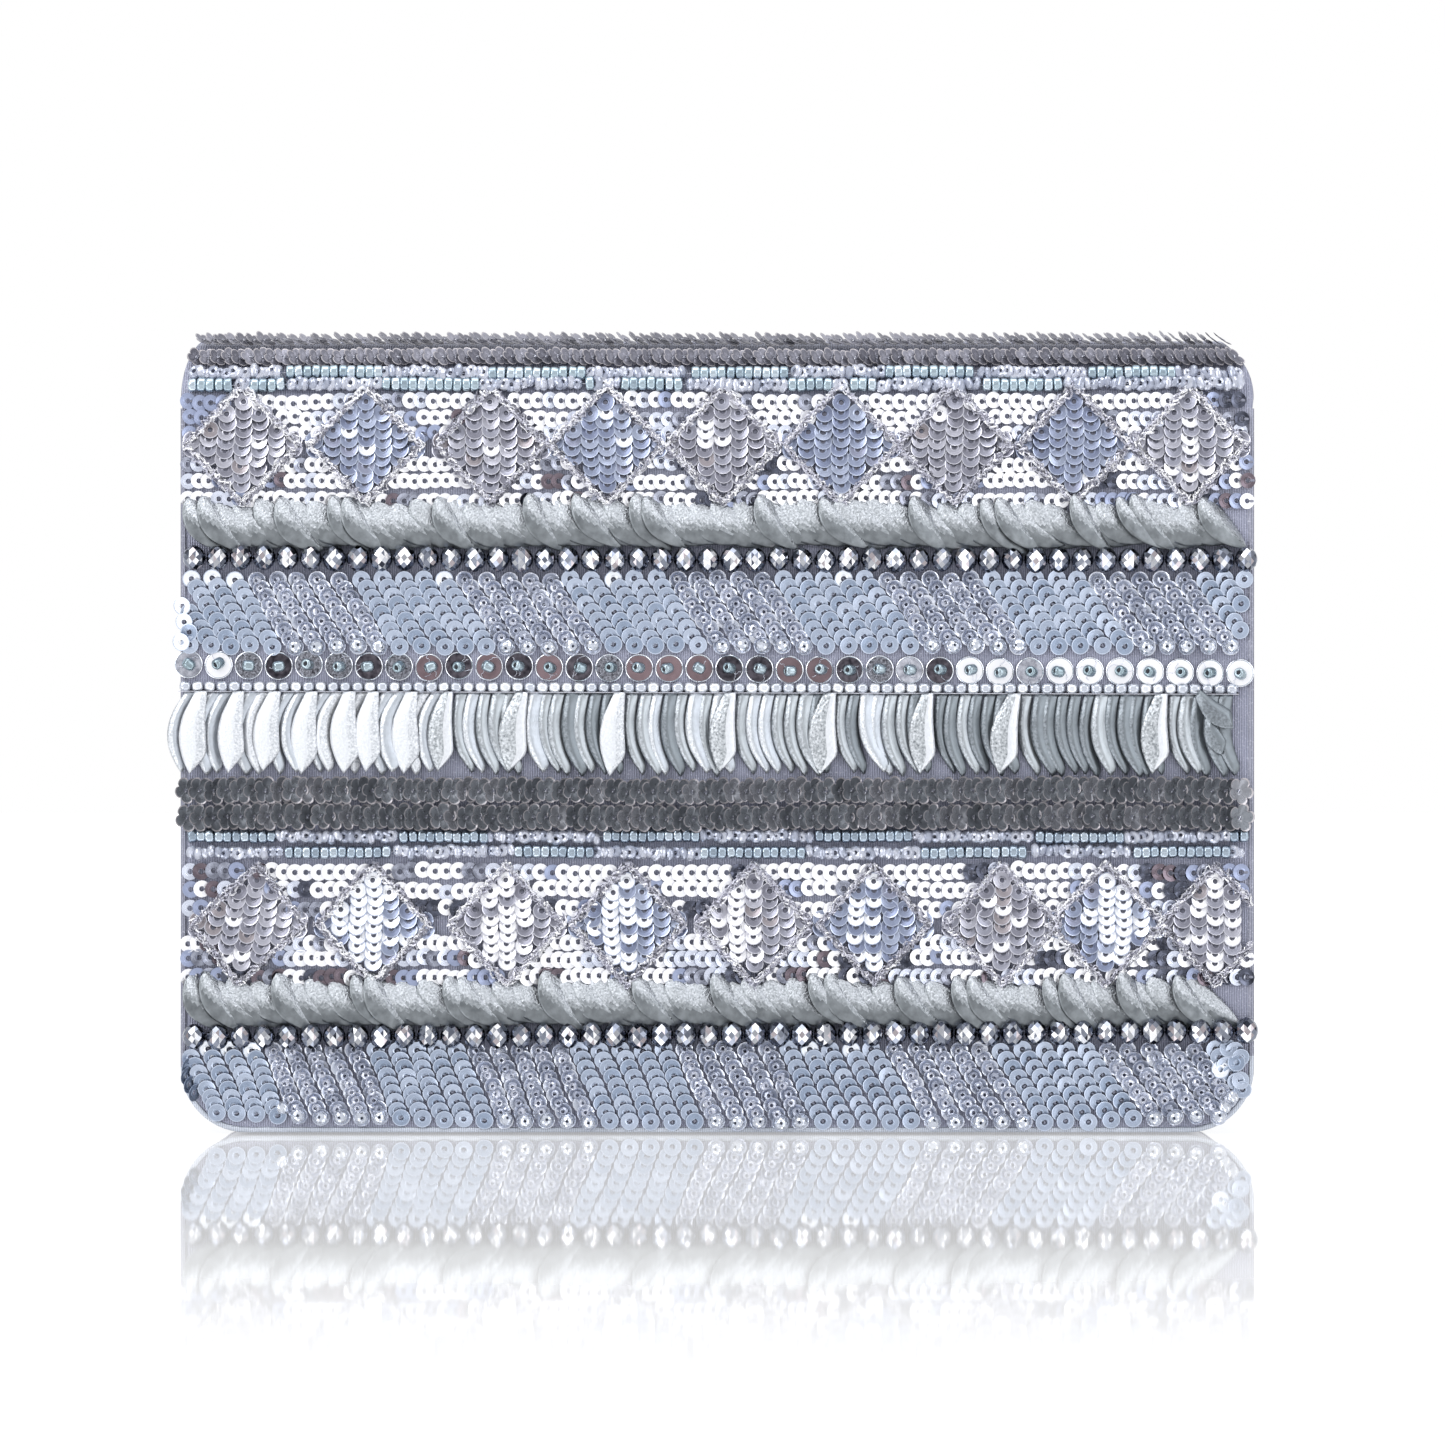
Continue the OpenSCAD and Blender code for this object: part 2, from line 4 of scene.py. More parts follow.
import bpy
import numpy as np
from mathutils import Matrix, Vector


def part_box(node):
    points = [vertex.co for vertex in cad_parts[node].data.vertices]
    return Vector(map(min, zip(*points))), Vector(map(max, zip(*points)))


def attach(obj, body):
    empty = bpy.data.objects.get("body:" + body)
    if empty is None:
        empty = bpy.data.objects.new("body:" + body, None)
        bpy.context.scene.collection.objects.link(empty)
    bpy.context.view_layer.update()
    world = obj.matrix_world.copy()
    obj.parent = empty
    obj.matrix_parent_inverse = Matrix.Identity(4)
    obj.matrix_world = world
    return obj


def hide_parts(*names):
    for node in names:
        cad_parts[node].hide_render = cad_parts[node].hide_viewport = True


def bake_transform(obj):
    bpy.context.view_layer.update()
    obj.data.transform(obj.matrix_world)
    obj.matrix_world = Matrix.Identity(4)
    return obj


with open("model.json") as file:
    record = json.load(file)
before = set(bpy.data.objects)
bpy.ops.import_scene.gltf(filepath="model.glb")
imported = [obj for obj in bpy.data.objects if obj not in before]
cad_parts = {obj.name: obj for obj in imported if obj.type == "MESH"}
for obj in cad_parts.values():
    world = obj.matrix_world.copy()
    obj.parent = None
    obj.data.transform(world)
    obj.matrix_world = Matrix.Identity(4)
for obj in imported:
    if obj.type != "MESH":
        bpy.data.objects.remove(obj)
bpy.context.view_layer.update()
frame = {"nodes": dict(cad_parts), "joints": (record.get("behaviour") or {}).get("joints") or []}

rng = np.random.default_rng(408)
pi = math.pi


def low(node):
    return np.array(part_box(node)[0]) * 1000


def high(node):
    return np.array(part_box(node)[1]) * 1000


# ---- sizes from the frame, in millimetres ----------------------------------
SKF = low("flap_cover")[1]  # the flap's outer skin
SKB = high("back_cover")[1]  # the back's outer skin
R = (SKB - SKF) / 2
FCY = (SKB + SKF) / 2
HW = high("fold_front_cover")[0]
FCZ = high("fold_front_cover")[2] - R
FPO = low("front_cover")[1]
FPI = high("front_lining")[1]
BIN = SKB - (FPI - FPO)  # the flat of the back's lining: the back is as thick as the front panel
MOUTH = high("front_cover")[2]
BHW = high("front_cover")[0]
Z0 = low("flap_hem")[2]
WRAP = high("flap_hem")[1] - SKF  # cloth, board and lining together
CR = 14.0
S_END = FCZ + R * pi + FCZ  # the back's lower edge, measured over the wrap


def arc_s(theta):
    """Distance over the wrap of the fold's angle theta, which is 90 at the flap and -90 at the back."""
    return FCZ + R * math.radians(90 - theta)


def skin(P):
    """(x, distance up the flap and over the fold, height over the skin) to metres."""
    x, s, h = P[:, 0], P[:, 1], P[:, 2]
    t = np.clip((s - FCZ) / R, 0, pi)
    over = np.maximum(s - (FCZ + R * pi), 0)
    # the fold's ends round off towards the top
    g = np.clip((np.sin(t) - 0.2) / 0.8, 0, 1) ** 2.2
    ends = np.clip((np.abs(x) - 85) / 30, 0, 1.05) ** 2
    x = x - np.sign(x) * np.where(x > 0, 5.8, 3.0) * g * ends
    y = FCY - (R + h) * np.cos(t)
    z = np.where(s < FCZ, s, FCZ + (R + h) * np.sin(t) - over)
    return np.stack([x, y, z], 1) * 0.001


def plane(y0, way):
    """A flat panel whose outer side faces -Y for way -1 and +Y for way 1."""
    return lambda P: np.stack([P[:, 0], y0 + way * P[:, 2], P[:, 1]], 1) * 0.001


def metres(P):
    return P * 0.001


# ---- mesh building -----------------------------------------------------------
class Build:
    def __init__(self):
        self.v, self.f, self.m, self.n = [], [], [], 0

    def add(self, V, Q, m=0):
        """Q is an array of faces with 3 or 4 corners each; m is a material index or one for each face."""
        V, Q = np.asarray(V, float), np.asarray(Q, int)
        self.v.append(V)
        self.f.append(Q + self.n)
        self.m.append(np.broadcast_to(np.asarray(m, int), (len(Q),)))
        self.n += len(V)

    def place(self, T, M, O, m=0, S=None):
        """Copies of template T turned by M (N, 3, 3), moved to O (N, 3)."""
        V, faces = T
        O = np.asarray(O, float).reshape(-1, 3)
        N = len(O)
        if N == 0:
            return
        M = np.broadcast_to(M, (N, 3, 3))
        W = np.broadcast_to(V[None], (N, *V.shape))
        if S is not None:
            W = W * np.asarray(S, float).reshape(N, 1, -1)
        W = np.einsum("nij,nkj->nki", M, W) + O[:, None]
        m = np.broadcast_to(np.asarray(m), (N,))
        for F, fm in faces:
            off = (np.arange(N) * len(V))[:, None, None] + self.n
            self.f.append((F[None] + off).reshape(-1, F.shape[1]))
            self.m.append(np.repeat(m + fm if fm >= 0 else np.full(N, -fm), len(F)))
        self.v.append(W.reshape(-1, 3))
        self.n += N * len(V)

    def mesh(self, name, mats, to=skin, smooth=True):
        V = to(np.concatenate(self.v))
        me = bpy.data.meshes.new(name)
        me.vertices.add(len(V))
        me.vertices.foreach_set("co", V.astype(np.float32).ravel())
        loops = np.concatenate([f.ravel() for f in self.f]).astype(np.int32)
        sizes = np.concatenate([np.full(len(f), f.shape[1]) for f in self.f])
        starts = np.concatenate([[0], np.cumsum(sizes)[:-1]]).astype(np.int32)
        me.loops.add(len(loops))
        me.loops.foreach_set("vertex_index", loops)
        me.polygons.add(len(sizes))
        me.polygons.foreach_set("loop_start", starts)
        me.polygons.foreach_set(
            "material_index", np.concatenate(self.m).astype(np.int32)
        )
        me.polygons.foreach_set("use_smooth", np.full(len(sizes), bool(smooth)))
        for m in mats:
            me.materials.append(m)
        me.update(calc_edges=True)
        me.validate()
        o = bpy.data.objects.new(name, me)
        bpy.context.scene.collection.objects.link(o)
        return o


def turned(axis, a):
    """Rotation matrices about x, y or z, one for each angle in radians."""
    a = np.atleast_1d(np.asarray(a, float))
    c, s, o, z = np.cos(a), np.sin(a), np.ones_like(a), np.zeros_like(a)
    rows = {
        "x": [o, z, z, z, c, -s, z, s, c],
        "y": [c, z, s, z, o, z, -s, z, c],
        "z": [c, -s, z, s, c, z, z, z, o],
    }[axis]
    return np.stack(rows, 1).reshape(-1, 3, 3)


def jit(n, deg):
    return np.radians(rng.normal(0, deg, n).clip(-2.2 * deg, 2.2 * deg))


def lathe(rings, seg, closed=False, phase=None):
    """Faces through rings of points given as (n, seg, 3)."""
    rings = np.asarray(rings, float)
    n = len(rings)
    q = []
    for j in range(n if closed else n - 1):
        k = (j + 1) % n
        for i in range(seg):
            i2 = (i + 1) % seg
            q.append([j * seg + i, k * seg + i, k * seg + i2, j * seg + i2])
    return rings.reshape(-1, 3), [(np.array(q), 0)]


def t_disc(r, hole, cup, t, seg=14, lobes=0, deep=0.0, lip=0.0, notch=0.2, rim=0, round_=0.5):
    """A thin disc with a hole: a sequin. lobes makes petals of it; lip raises a ring round the hole; rim is the
    material of its rolled outer band, a lighter material that paints a highlight on the edge.
    """
    a = np.arange(seg) * 2 * pi / seg
    edge = np.ones(seg)
    crease = np.zeros(seg)
    if lobes:
        w = np.abs(np.cos(a * lobes / 2))
        edge = 1 - notch * (1 - w**round_)
        crease = -deep * (1 - w) ** 1.5

    def ring(rad, h, k=1.0, e=edge):
        return np.stack([rad * e * np.cos(a), rad * e * np.sin(a), h + k * crease], 1)

    one = np.ones(seg)
    rings = [ring(hole, lip * 0.5, 0, one)]
    if lip:
        rings += [ring(hole + 0.16, lip, 0, one), ring(hole + 0.36, 0, 0.2, one)]
    rings += [ring(r * 0.6, cup * 0.2, 0.6), ring(r * 0.9, cup * 0.8), ring(r, cup), ring(r, cup - t), ring(hole, -t, 0, one)]
    V, F = lathe(rings, seg, True)
    if not rim:
        return V, F
    q = F[0][0]
    # painted highlight: the band from 0.9 of the radius out to the edge takes the rim material
    painted_highlight_ring = q.min(1) // seg == len(rings) - 4
    return V, [(q[~painted_highlight_ring], 0), (q[painted_highlight_ring], -rim)]


def t_bead(r, w, hole=0.4, seg=12, power=4.0, rings=6, taper=0.42):
    """A barrel bead threaded along x."""
    a = np.arange(seg) * 2 * pi / seg
    prof = [(-w / 2 * 0.82, hole)]
    for k in np.linspace(-1, 1, rings):
        prof.append((k * w / 2, r * (1 - taper * abs(k) ** power)))
    prof.append((w / 2 * 0.82, hole))
    V, F = lathe([np.stack([np.full(seg, x), rr * np.cos(a), rr * np.sin(a)], 1) for x, rr in prof], seg, True)
    return V, [(F[0][0][:, ::-1], 0)]


def t_facet(r, w, seg=10):
    """A bead cut with kite facets round its middle, threaded along x."""
    k = math.cos(pi / seg)
    prof = [(-0.97, 0.28, 0), (-0.82, 0.58, 0), (-0.58, 0.79, 0.5), (-0.3, k, 0), (0.0, 1.0, 0.5),
            (0.3, k, 0), (0.58, 0.79, 0.5), (0.82, 0.58, 0), (0.97, 0.28, 0), (0.8, 0.16, 0), (-0.8, 0.16, 0)]
    V = []
    for x, rr, ph in prof:
        a = (np.arange(seg) + ph) * 2 * pi / seg
        V.append(np.stack([np.full(seg, x * w / 2), r * rr * np.cos(a), r * rr * np.sin(a)], 1))
    at = lambda j, i: j * seg + i % seg
    quads, tris = [], []
    for i in range(seg):
        for j in (1, 3, 5):
            quads.append([at(j, i), at(j + 1, i - 1), at(j + 2, i), at(j + 1, i)])
            tris.append([at(j, i + 1), at(j, i), at(j + 1, i)])
            tris.append([at(j + 2, i), at(j + 2, i + 1), at(j + 1, i)])
        for j in (0, 7, 8, 9):
            quads.append([at(j, i), at(j + 1, i), at(j + 1, i + 1), at(j, i + 1)])
        quads.append([at(10, i), at(0, i), at(0, i + 1), at(10, i + 1)])
    return np.concatenate(V), [(np.array(quads)[:, ::-1], 0), (np.array(tris), 0)]


def both_sides(V, W, nu, nv):
    """A closed leaf from two grids of the same size, front V and back W, (nv+1)*(nu+1) points."""
    n = (nu + 1) * (nv + 1)
    q = []
    for j in range(nv):
        for i in range(nu):
            a, b = j * (nu + 1) + i, j * (nu + 1) + i + 1
            c, d = b + nu + 1, a + nu + 1
            q.append([a, b, c, d])
            q.append([n + a, n + d, n + c, n + b])
    loop = (
        [i for i in range(nu)]
        + [j * (nu + 1) + nu for j in range(nv)]
        + [nv * (nu + 1) + i for i in range(nu, 0, -1)]
        + [j * (nu + 1) for j in range(nv, 0, -1)]
    )
    for a, b in zip(loop, loop[1:] + loop[:1]):
        q.append([a, n + a, n + b, b])
    return np.concatenate([V, W]), np.array(q)


def t_leaf(length, width, fold=0.9, bow=0.5, thick=0.16, nv=24, nu=14, curve=0.08):
    """A pressed leaf lying along y with its tip at +y. It curves like a crescent, and the half that +x looks over is
    smooth (material 1), the other rough (material 0), with a strip between (material 2); the rough half's lighter
    colour and the smooth half's darker one are partly their grain and partly painted light and shade on the two sides
    of the fold.
    """
    V = []
    for j in range(nv + 1):
        u = j / nv
        k = max(math.sin(pi * min(u**0.82, 1)) ** 0.7, 0.02)
        near, far = 0.56 * width * k, 0.44 * width * k
        for i in range(nu + 1):
            v = i / nu * 2 - 1
            x = v * (near if v > 0 else far) + curve * length * math.sin(pi * u)
            vein = 0.05 * fold * math.sin(26 * u - 7 * abs(v)) * k * (1 - abs(v))
            h = fold * (1 - abs(v) ** 1.3) * k + bow * math.sin(pi * u) + vein
            V.append([x, (u - 0.5) * length, h])
    V = np.array(V)
    P, q = both_sides(V, V - [0, 0, thick], nu, nv)
    uv = np.array([[i / nu * 2 - 1, j / nv] for j in range(nv + 1) for i in range(nu + 1)] * 2)
    c = uv[q].mean(1)
    # the rough half is lighter and the smooth half darker: partly grain, partly painted light and shade on the two
    # sides of the fold
    d = c[:, 0] - (0.3 - 1.25 * (c[:, 1] - 0.42) + 0.08 * np.sin(9 * c[:, 1]))
    return P, [(q[d <= -0.16], 0), (q[d > 0.16], 1), (q[(d > -0.16) & (d <= 0.16)], 2)]


def curve_leaf(length, left, right, ridge, tops, thick=0.13, nv=18, nu=8):
    """A leaf hanging down -y. left and right are outline points (u, x); ridge is the fold's place across it; tops are the heights at the left edge, ridge and right edge."""
    V = []
    for j in range(nv + 1):
        u = j / nv
        us = u
        xl = float(np.interp(us, [p[0] for p in left], [p[1] for p in left]))
        xr = float(np.interp(us, [p[0] for p in right], [p[1] for p in right]))
        grow = min(1.0, 0.35 + 2.6 * u) * (1 - 0.45 * max(0.0, (u - 0.72) / 0.28))
        for i in range(nu + 1):
            v = i / nu
            h = np.interp(v, [0, ridge * 0.5, ridge, ridge + (1 - ridge) * 0.5, 1],
                          [tops[0], tops[0] + (tops[1] - tops[0]) * 0.62, tops[1], tops[2] + (tops[1] - tops[2]) * 0.58, tops[2]])
            V.append([xl + (xr - xl) * v, -u * length, float(h) * grow])
    V = np.array(V)
    # smooth the outline a little
    G = V.reshape(nv + 1, nu + 1, 3)
    G[1:-1] = 0.25 * G[:-2] + 0.5 * G[1:-1] + 0.25 * G[2:]
    P, q = both_sides(G.reshape(-1, 3), G.reshape(-1, 3) - [0, 0, thick], nu, nv)
    q = q[:, ::-1]
    uv = np.array([[i / nu, j / nv] for j in range(nv + 1) for i in range(nu + 1)] * 2)
    c = uv[q].mean(1)
    # the part right of the ridge takes the second material of each pair: partly its smoother grain, partly painted
    # light on that side of the fold
    painted_fold_side = (c[:, 0] > ridge) & (c[:, 1] < 0.93)
    return P, [(q[~painted_fold_side], 0), (q[painted_fold_side], 1)]


def tube(b, pts, rad, sides=5, m=0, wobble=None):
    """A closed tube along points given in (x, s, h)."""
    p = np.asarray(pts, float)
    n = len(p)
    d = np.gradient(p, axis=0)
    d /= np.linalg.norm(d, axis=1)[:, None] + 1e-9
    up = np.tile([0.0, 0.0, 1.0], (n, 1))
    up[np.abs(d[:, 2]) > 0.9] = [1.0, 0.0, 0.0]
    a = np.cross(d, up)
    a /= np.linalg.norm(a, axis=1)[:, None] + 1e-9
    c = np.cross(a, d)
    r = np.broadcast_to(np.asarray(rad, float), (n,))
    ang = np.arange(sides) * 2 * pi / sides
    V = (
        p[:, None]
        + r[:, None, None]
        * (a[:, None] * np.cos(ang)[None, :, None] + c[:, None] * np.sin(ang)[None, :, None])
    ).reshape(-1, 3)
    j, i = np.meshgrid(np.arange(n - 1), np.arange(sides), indexing="ij")
    i2 = (i + 1) % sides
    q = np.stack([j * sides + i, j * sides + i2, (j + 1) * sides + i2, (j + 1) * sides + i], -1).reshape(-1, 4)
    V = np.concatenate([V, p[:1], p[-1:]])
    k = np.arange(sides)
    k2 = (k + 1) % sides
    caps = np.concatenate(
        [
            np.stack([np.full(sides, n * sides), k2, k], 1),
            np.stack([np.full(sides, n * sides + 1), (n - 1) * sides + k, (n - 1) * sides + k2], 1),
        ]
    )
    start = b.n
    b.add(V, q, m)
    b.f.append(caps + start)
    b.m.append(np.full(len(caps), m))


# ---- materials ---------------------------------------------------------------
def lin(r, g, b):
    f = lambda c: (c / 255 / 12.92) if c / 255 <= 0.04045 else ((c / 255 + 0.055) / 1.055) ** 2.4
    return (f(r), f(g), f(b))


def shader(name, color, metallic=0.0, rough=0.4, var=0.12, scale=900.0, rvar=0.08, bump=0.0,
           bscale=2500.0, trans=0.0, ior=1.5, sheen=0.0, coat=0.0, spec=0.5, detail=3.0, tint=None):
    """A Principled material whose colour, roughness and bump come from noise of the size given."""
    m = bpy.data.materials.new(name)
    m.use_nodes = True
    nt = m.node_tree
    p = nt.nodes["Principled BSDF"]
    p.inputs["Metallic"].default_value = metallic
    p.inputs["IOR"].default_value = ior
    p.inputs["Specular IOR Level"].default_value = spec
    p.inputs["Transmission Weight"].default_value = trans
    p.inputs["Coat Weight"].default_value = coat
    p.inputs["Coat Roughness"].default_value = 0.08
    p.inputs["Sheen Weight"].default_value = sheen
    p.inputs["Sheen Roughness"].default_value = 0.4
    tc = nt.nodes.new("ShaderNodeTexCoord")
    nz = nt.nodes.new("ShaderNodeTexNoise")
    nz.inputs["Scale"].default_value = scale
    nz.inputs["Detail"].default_value = detail
    nt.links.new(tc.outputs["Object"], nz.inputs["Vector"])
    mix = nt.nodes.new("ShaderNodeMix")
    mix.data_type = "RGBA"
    c2 = tint or tuple(c * (1 + var) for c in color)
    mix.inputs[6].default_value = (*[c * (1 - var) for c in color], 1)
    mix.inputs[7].default_value = (*[min(c, 1.0) for c in c2], 1)
    spread = nt.nodes.new("ShaderNodeMapRange")
    spread.inputs["From Min"].default_value = 0.3
    spread.inputs["From Max"].default_value = 0.7
    nt.links.new(nz.outputs["Fac"], spread.inputs["Value"])
    nt.links.new(spread.outputs["Result"], mix.inputs[0])
    nt.links.new(mix.outputs[2], p.inputs["Base Color"])
    rr = nt.nodes.new("ShaderNodeMapRange")
    rr.inputs["To Min"].default_value = max(rough - rvar, 0.02)
    rr.inputs["To Max"].default_value = min(rough + rvar, 1.0)
    nt.links.new(nz.outputs["Fac"], rr.inputs["Value"])
    nt.links.new(rr.outputs["Result"], p.inputs["Roughness"])
    if bump:
        bn = nt.nodes.new("ShaderNodeTexNoise")
        bn.inputs["Scale"].default_value = bscale
        bn.inputs["Detail"].default_value = 2.0
        nt.links.new(tc.outputs["Object"], bn.inputs["Vector"])
        bp = nt.nodes.new("ShaderNodeBump")
        bp.inputs["Distance"].default_value = bump * 0.001
        bp.inputs["Strength"].default_value = 1.0
        nt.links.new(bn.outputs["Fac"], bp.inputs["Height"])
        nt.links.new(bp.outputs["Normal"], p.inputs["Normal"])
    return m


def cloth_material(name, color, light, metallic, rough, rib, rib_deep, weft, weft_deep, sheen=0.15, glint=0.35, across="X"):
    """Ribs along z at the given pitch in millimetres, counted along X or Y, crossed by a finer weft, with lurex glints."""
    m = bpy.data.materials.new(name)
    m.use_nodes = True
    nt = m.node_tree
    N, L = nt.nodes.new, nt.links.new
    p = nt.nodes["Principled BSDF"]
    p.inputs["Metallic"].default_value = metallic
    p.inputs["Sheen Weight"].default_value = sheen
    p.inputs["Sheen Roughness"].default_value = 0.35
    tc = N("ShaderNodeTexCoord")

    def wave(axis, pitch):
        w = N("ShaderNodeTexWave")
        w.wave_type = "BANDS"
        w.bands_direction = axis
        w.inputs["Scale"].default_value = 2 * pi / (20 * pitch * 0.001)
        w.inputs["Distortion"].default_value = 0.6
        w.inputs["Detail"].default_value = 1.0
        w.inputs["Detail Scale"].default_value = 1.5
        L(tc.outputs["Object"], w.inputs["Vector"])
        return w

    ribs, cross = wave(across, rib), wave("Z", weft)
    nz = N("ShaderNodeTexNoise")
    nz.inputs["Scale"].default_value = 2600.0
    nz.inputs["Detail"].default_value = 2.0
    L(tc.outputs["Object"], nz.inputs["Vector"])
    slow = N("ShaderNodeTexNoise")
    slow.inputs["Scale"].default_value = 60.0
    L(tc.outputs["Object"], slow.inputs["Vector"])
    glints = N("ShaderNodeMapRange")
    glints.inputs["From Min"].default_value = 0.56
    glints.inputs["From Max"].default_value = 0.74
    glints.inputs["To Max"].default_value = glint
    L(nz.outputs["Fac"], glints.inputs["Value"])
    # painted shade: the rib valleys, low on the same waves as the rib bump, are darker
    mix = N("ShaderNodeMix")
    mix.data_type = "RGBA"
    mix.inputs[6].default_value = (*[c * 0.6 for c in color], 1)
    mix.inputs[7].default_value = (*color, 1)
    L(ribs.outputs["Fac"], mix.inputs[0])
    soft = N("ShaderNodeMix")
    soft.data_type = "RGBA"
    soft.blend_type = "MULTIPLY"
    soft.inputs[0].default_value = 0.35
    L(mix.outputs[2], soft.inputs[6])
    L(slow.outputs["Fac"], soft.inputs[7])
    lit = N("ShaderNodeMix")
    lit.data_type = "RGBA"
    lit.inputs[7].default_value = (*light, 1)
    L(glints.outputs["Result"], lit.inputs[0])
    L(soft.outputs[2], lit.inputs[6])
    L(lit.outputs[2], p.inputs["Base Color"])
    rr = N("ShaderNodeMapRange")
    rr.inputs["To Min"].default_value = rough + 0.12
    rr.inputs["To Max"].default_value = rough - 0.08
    L(nz.outputs["Fac"], rr.inputs["Value"])
    L(rr.outputs["Result"], p.inputs["Roughness"])
    b1 = N("ShaderNodeBump")
    b1.inputs["Distance"].default_value = rib_deep * 0.001
    L(ribs.outputs["Fac"], b1.inputs["Height"])
    b2 = N("ShaderNodeBump")
    b2.inputs["Distance"].default_value = weft_deep * 0.001
    L(cross.outputs["Fac"], b2.inputs["Height"])
    L(b1.outputs["Normal"], b2.inputs["Normal"])
    L(b2.outputs["Normal"], p.inputs["Normal"])
    return m


CLOTH = cloth_material("ribbed_metallic_cloth", lin(166, 169, 190), lin(226, 228, 242), 0.5, 0.42, 0.52, 0.06, 0.33, 0.03)
SATIN = cloth_material("satin_lining", lin(186, 187, 200), lin(226, 227, 238), 0.1, 0.34, 0.24, 0.01, 0.19, 0.012, 0.5, 0.1)
BINDING = cloth_material("edge_binding", lin(220, 227, 240), lin(222, 228, 240), 0.4, 0.4, 0.4, 0.02, 0.3, 0.03, 0.3, 0.4)
SIDE = cloth_material("side_binding", lin(170, 172, 190), lin(232, 234, 246), 0.5, 0.42, 0.52, 0.04, 0.33, 0.03)
GUSSET = cloth_material("gusset_cloth", lin(152, 157, 179), lin(226, 228, 242), 0.5, 0.42, 0.52, 0.05, 0.33, 0.03, across="Y")
GUSSET_SATIN = cloth_material("gusset_satin", lin(186, 187, 200), lin(226, 227, 238), 0.1, 0.34, 0.24, 0.01, 0.19, 0.012, 0.5, 0.1, across="Y")
BOARD = shader("stiff_board", lin(172, 172, 180), 0, 0.8, 0.15, 500, 0.1, 0.05, 3000)
METAL = shader("snap_metal", lin(186, 187, 193), 1, 0.22, 0.05, 400, 0.06, 0.004, 5000)
MAGNET = shader("magnet", lin(110, 110, 114), 0.9, 0.42, 0.1, 700, 0.1, 0.02, 3000)
THREAD = shader("lining_thread", lin(205, 206, 216), 0.1, 0.6, 0.1, 3000, 0.1, 0.03, 6000, sheen=0.3)

FLOWER = [
    shader("flower_sequin_a", lin(126, 130, 137), 0.5, 0.28, 0.14, 700, 0.1, 0.03, 1500, spec=0.5),
    shader("flower_sequin_b", lin(108, 112, 119), 0.5, 0.3, 0.14, 700, 0.1, 0.03, 1500, spec=0.5),
    shader("flower_sequin_c", lin(142, 144, 151), 0.55, 0.26, 0.14, 700, 0.1, 0.03, 1500, spec=0.5),
]
FLOWER_TOP = [
    shader("fold_flower_a", lin(116, 116, 127), 0.5, 0.36, 0.16, 700, 0.1, 0.03, 1500, spec=0.5),
    shader("fold_flower_b", lin(96, 96, 107), 0.5, 0.38, 0.16, 700, 0.1, 0.03, 1500, spec=0.5),
    shader("fold_flower_c", lin(138, 138, 150), 0.5, 0.34, 0.16, 700, 0.1, 0.03, 1500, spec=0.5),
]
# painted highlight: the lighter outer band of the flower sequins
FLOWER_RIM_HIGHLIGHT = shader("flower_sequin_painted_highlight_edge", lin(176, 172, 176), 0.4, 0.3, 0.14, 700, 0.1, 0.03, 1500)
# dark thread, darkened to paint the shade in the sequins' holes
HOLE_THREAD_AND_SHADE = shader("dark_thread_and_painted_hole_shade", lin(84, 85, 98), 0.3, 0.5, 0.2, 3000, 0.1, 0.03, 5000)
GREY_THREAD = shader("grey_sewing_thread", lin(128, 130, 144), 0.5, 0.4, 0.15, 3000, 0.1, 0.04, 5000)
# bright silver thread for the disc wisps; on the flowers it paints a glint on one stitch of each star
GLINT = shader("sewing_thread", lin(226, 228, 238), 0.7, 0.3, 0.1, 3000, 0.1, 0.05, 5000)
SEED = [
    shader("seed_bead_a", lin(166, 182, 192), 0.9, 0.22, 0.06, 1200, 0.05, 0.01, 3000),
    shader("seed_bead_b", lin(148, 164, 176), 0.9, 0.24, 0.06, 1200, 0.05, 0.01, 3000),
    shader("seed_bead_c", lin(184, 196, 206), 0.9, 0.2, 0.06, 1200, 0.05, 0.01, 3000),
]
SEED_LOW = [
    shader("lower_seed_bead_a", lin(158, 171, 184), 0.9, 0.22, 0.06, 1200, 0.05, 0.01, 3000),
    shader("lower_seed_bead_b", lin(142, 155, 169), 0.9, 0.24, 0.06, 1200, 0.05, 0.01, 3000),
    shader("lower_seed_bead_c", lin(174, 185, 196), 0.9, 0.2, 0.06, 1200, 0.05, 0.01, 3000),
]
CLEAR = [
    shader("clear_bead_a", lin(216, 220, 234), 0.25, 0.07, 0.06, 900, 0.03, trans=0.5, ior=1.5, spec=0.8),
    shader("clear_bead_b", lin(176, 182, 200), 0.3, 0.1, 0.08, 900, 0.04, trans=0.4, ior=1.52, spec=0.8),
]
CLEAR_SEQ = [
    shader("clear_sequin_a", lin(212, 218, 233), 0.35, 0.14, 0.06, 900, 0.05, trans=0.4, ior=1.45, spec=0.7),
    shader("clear_sequin_b", lin(186, 193, 211), 0.4, 0.18, 0.06, 900, 0.05, trans=0.35, ior=1.45, spec=0.7),
    # a paler clear tone, and also the painted highlight on the clear sequins' outer band
    shader("clear_sequin_pale_and_painted_highlight_rim", lin(228, 232, 243), 0.45, 0.12, 0.06, 900, 0.05, trans=0.3, ior=1.45, spec=0.8),
]
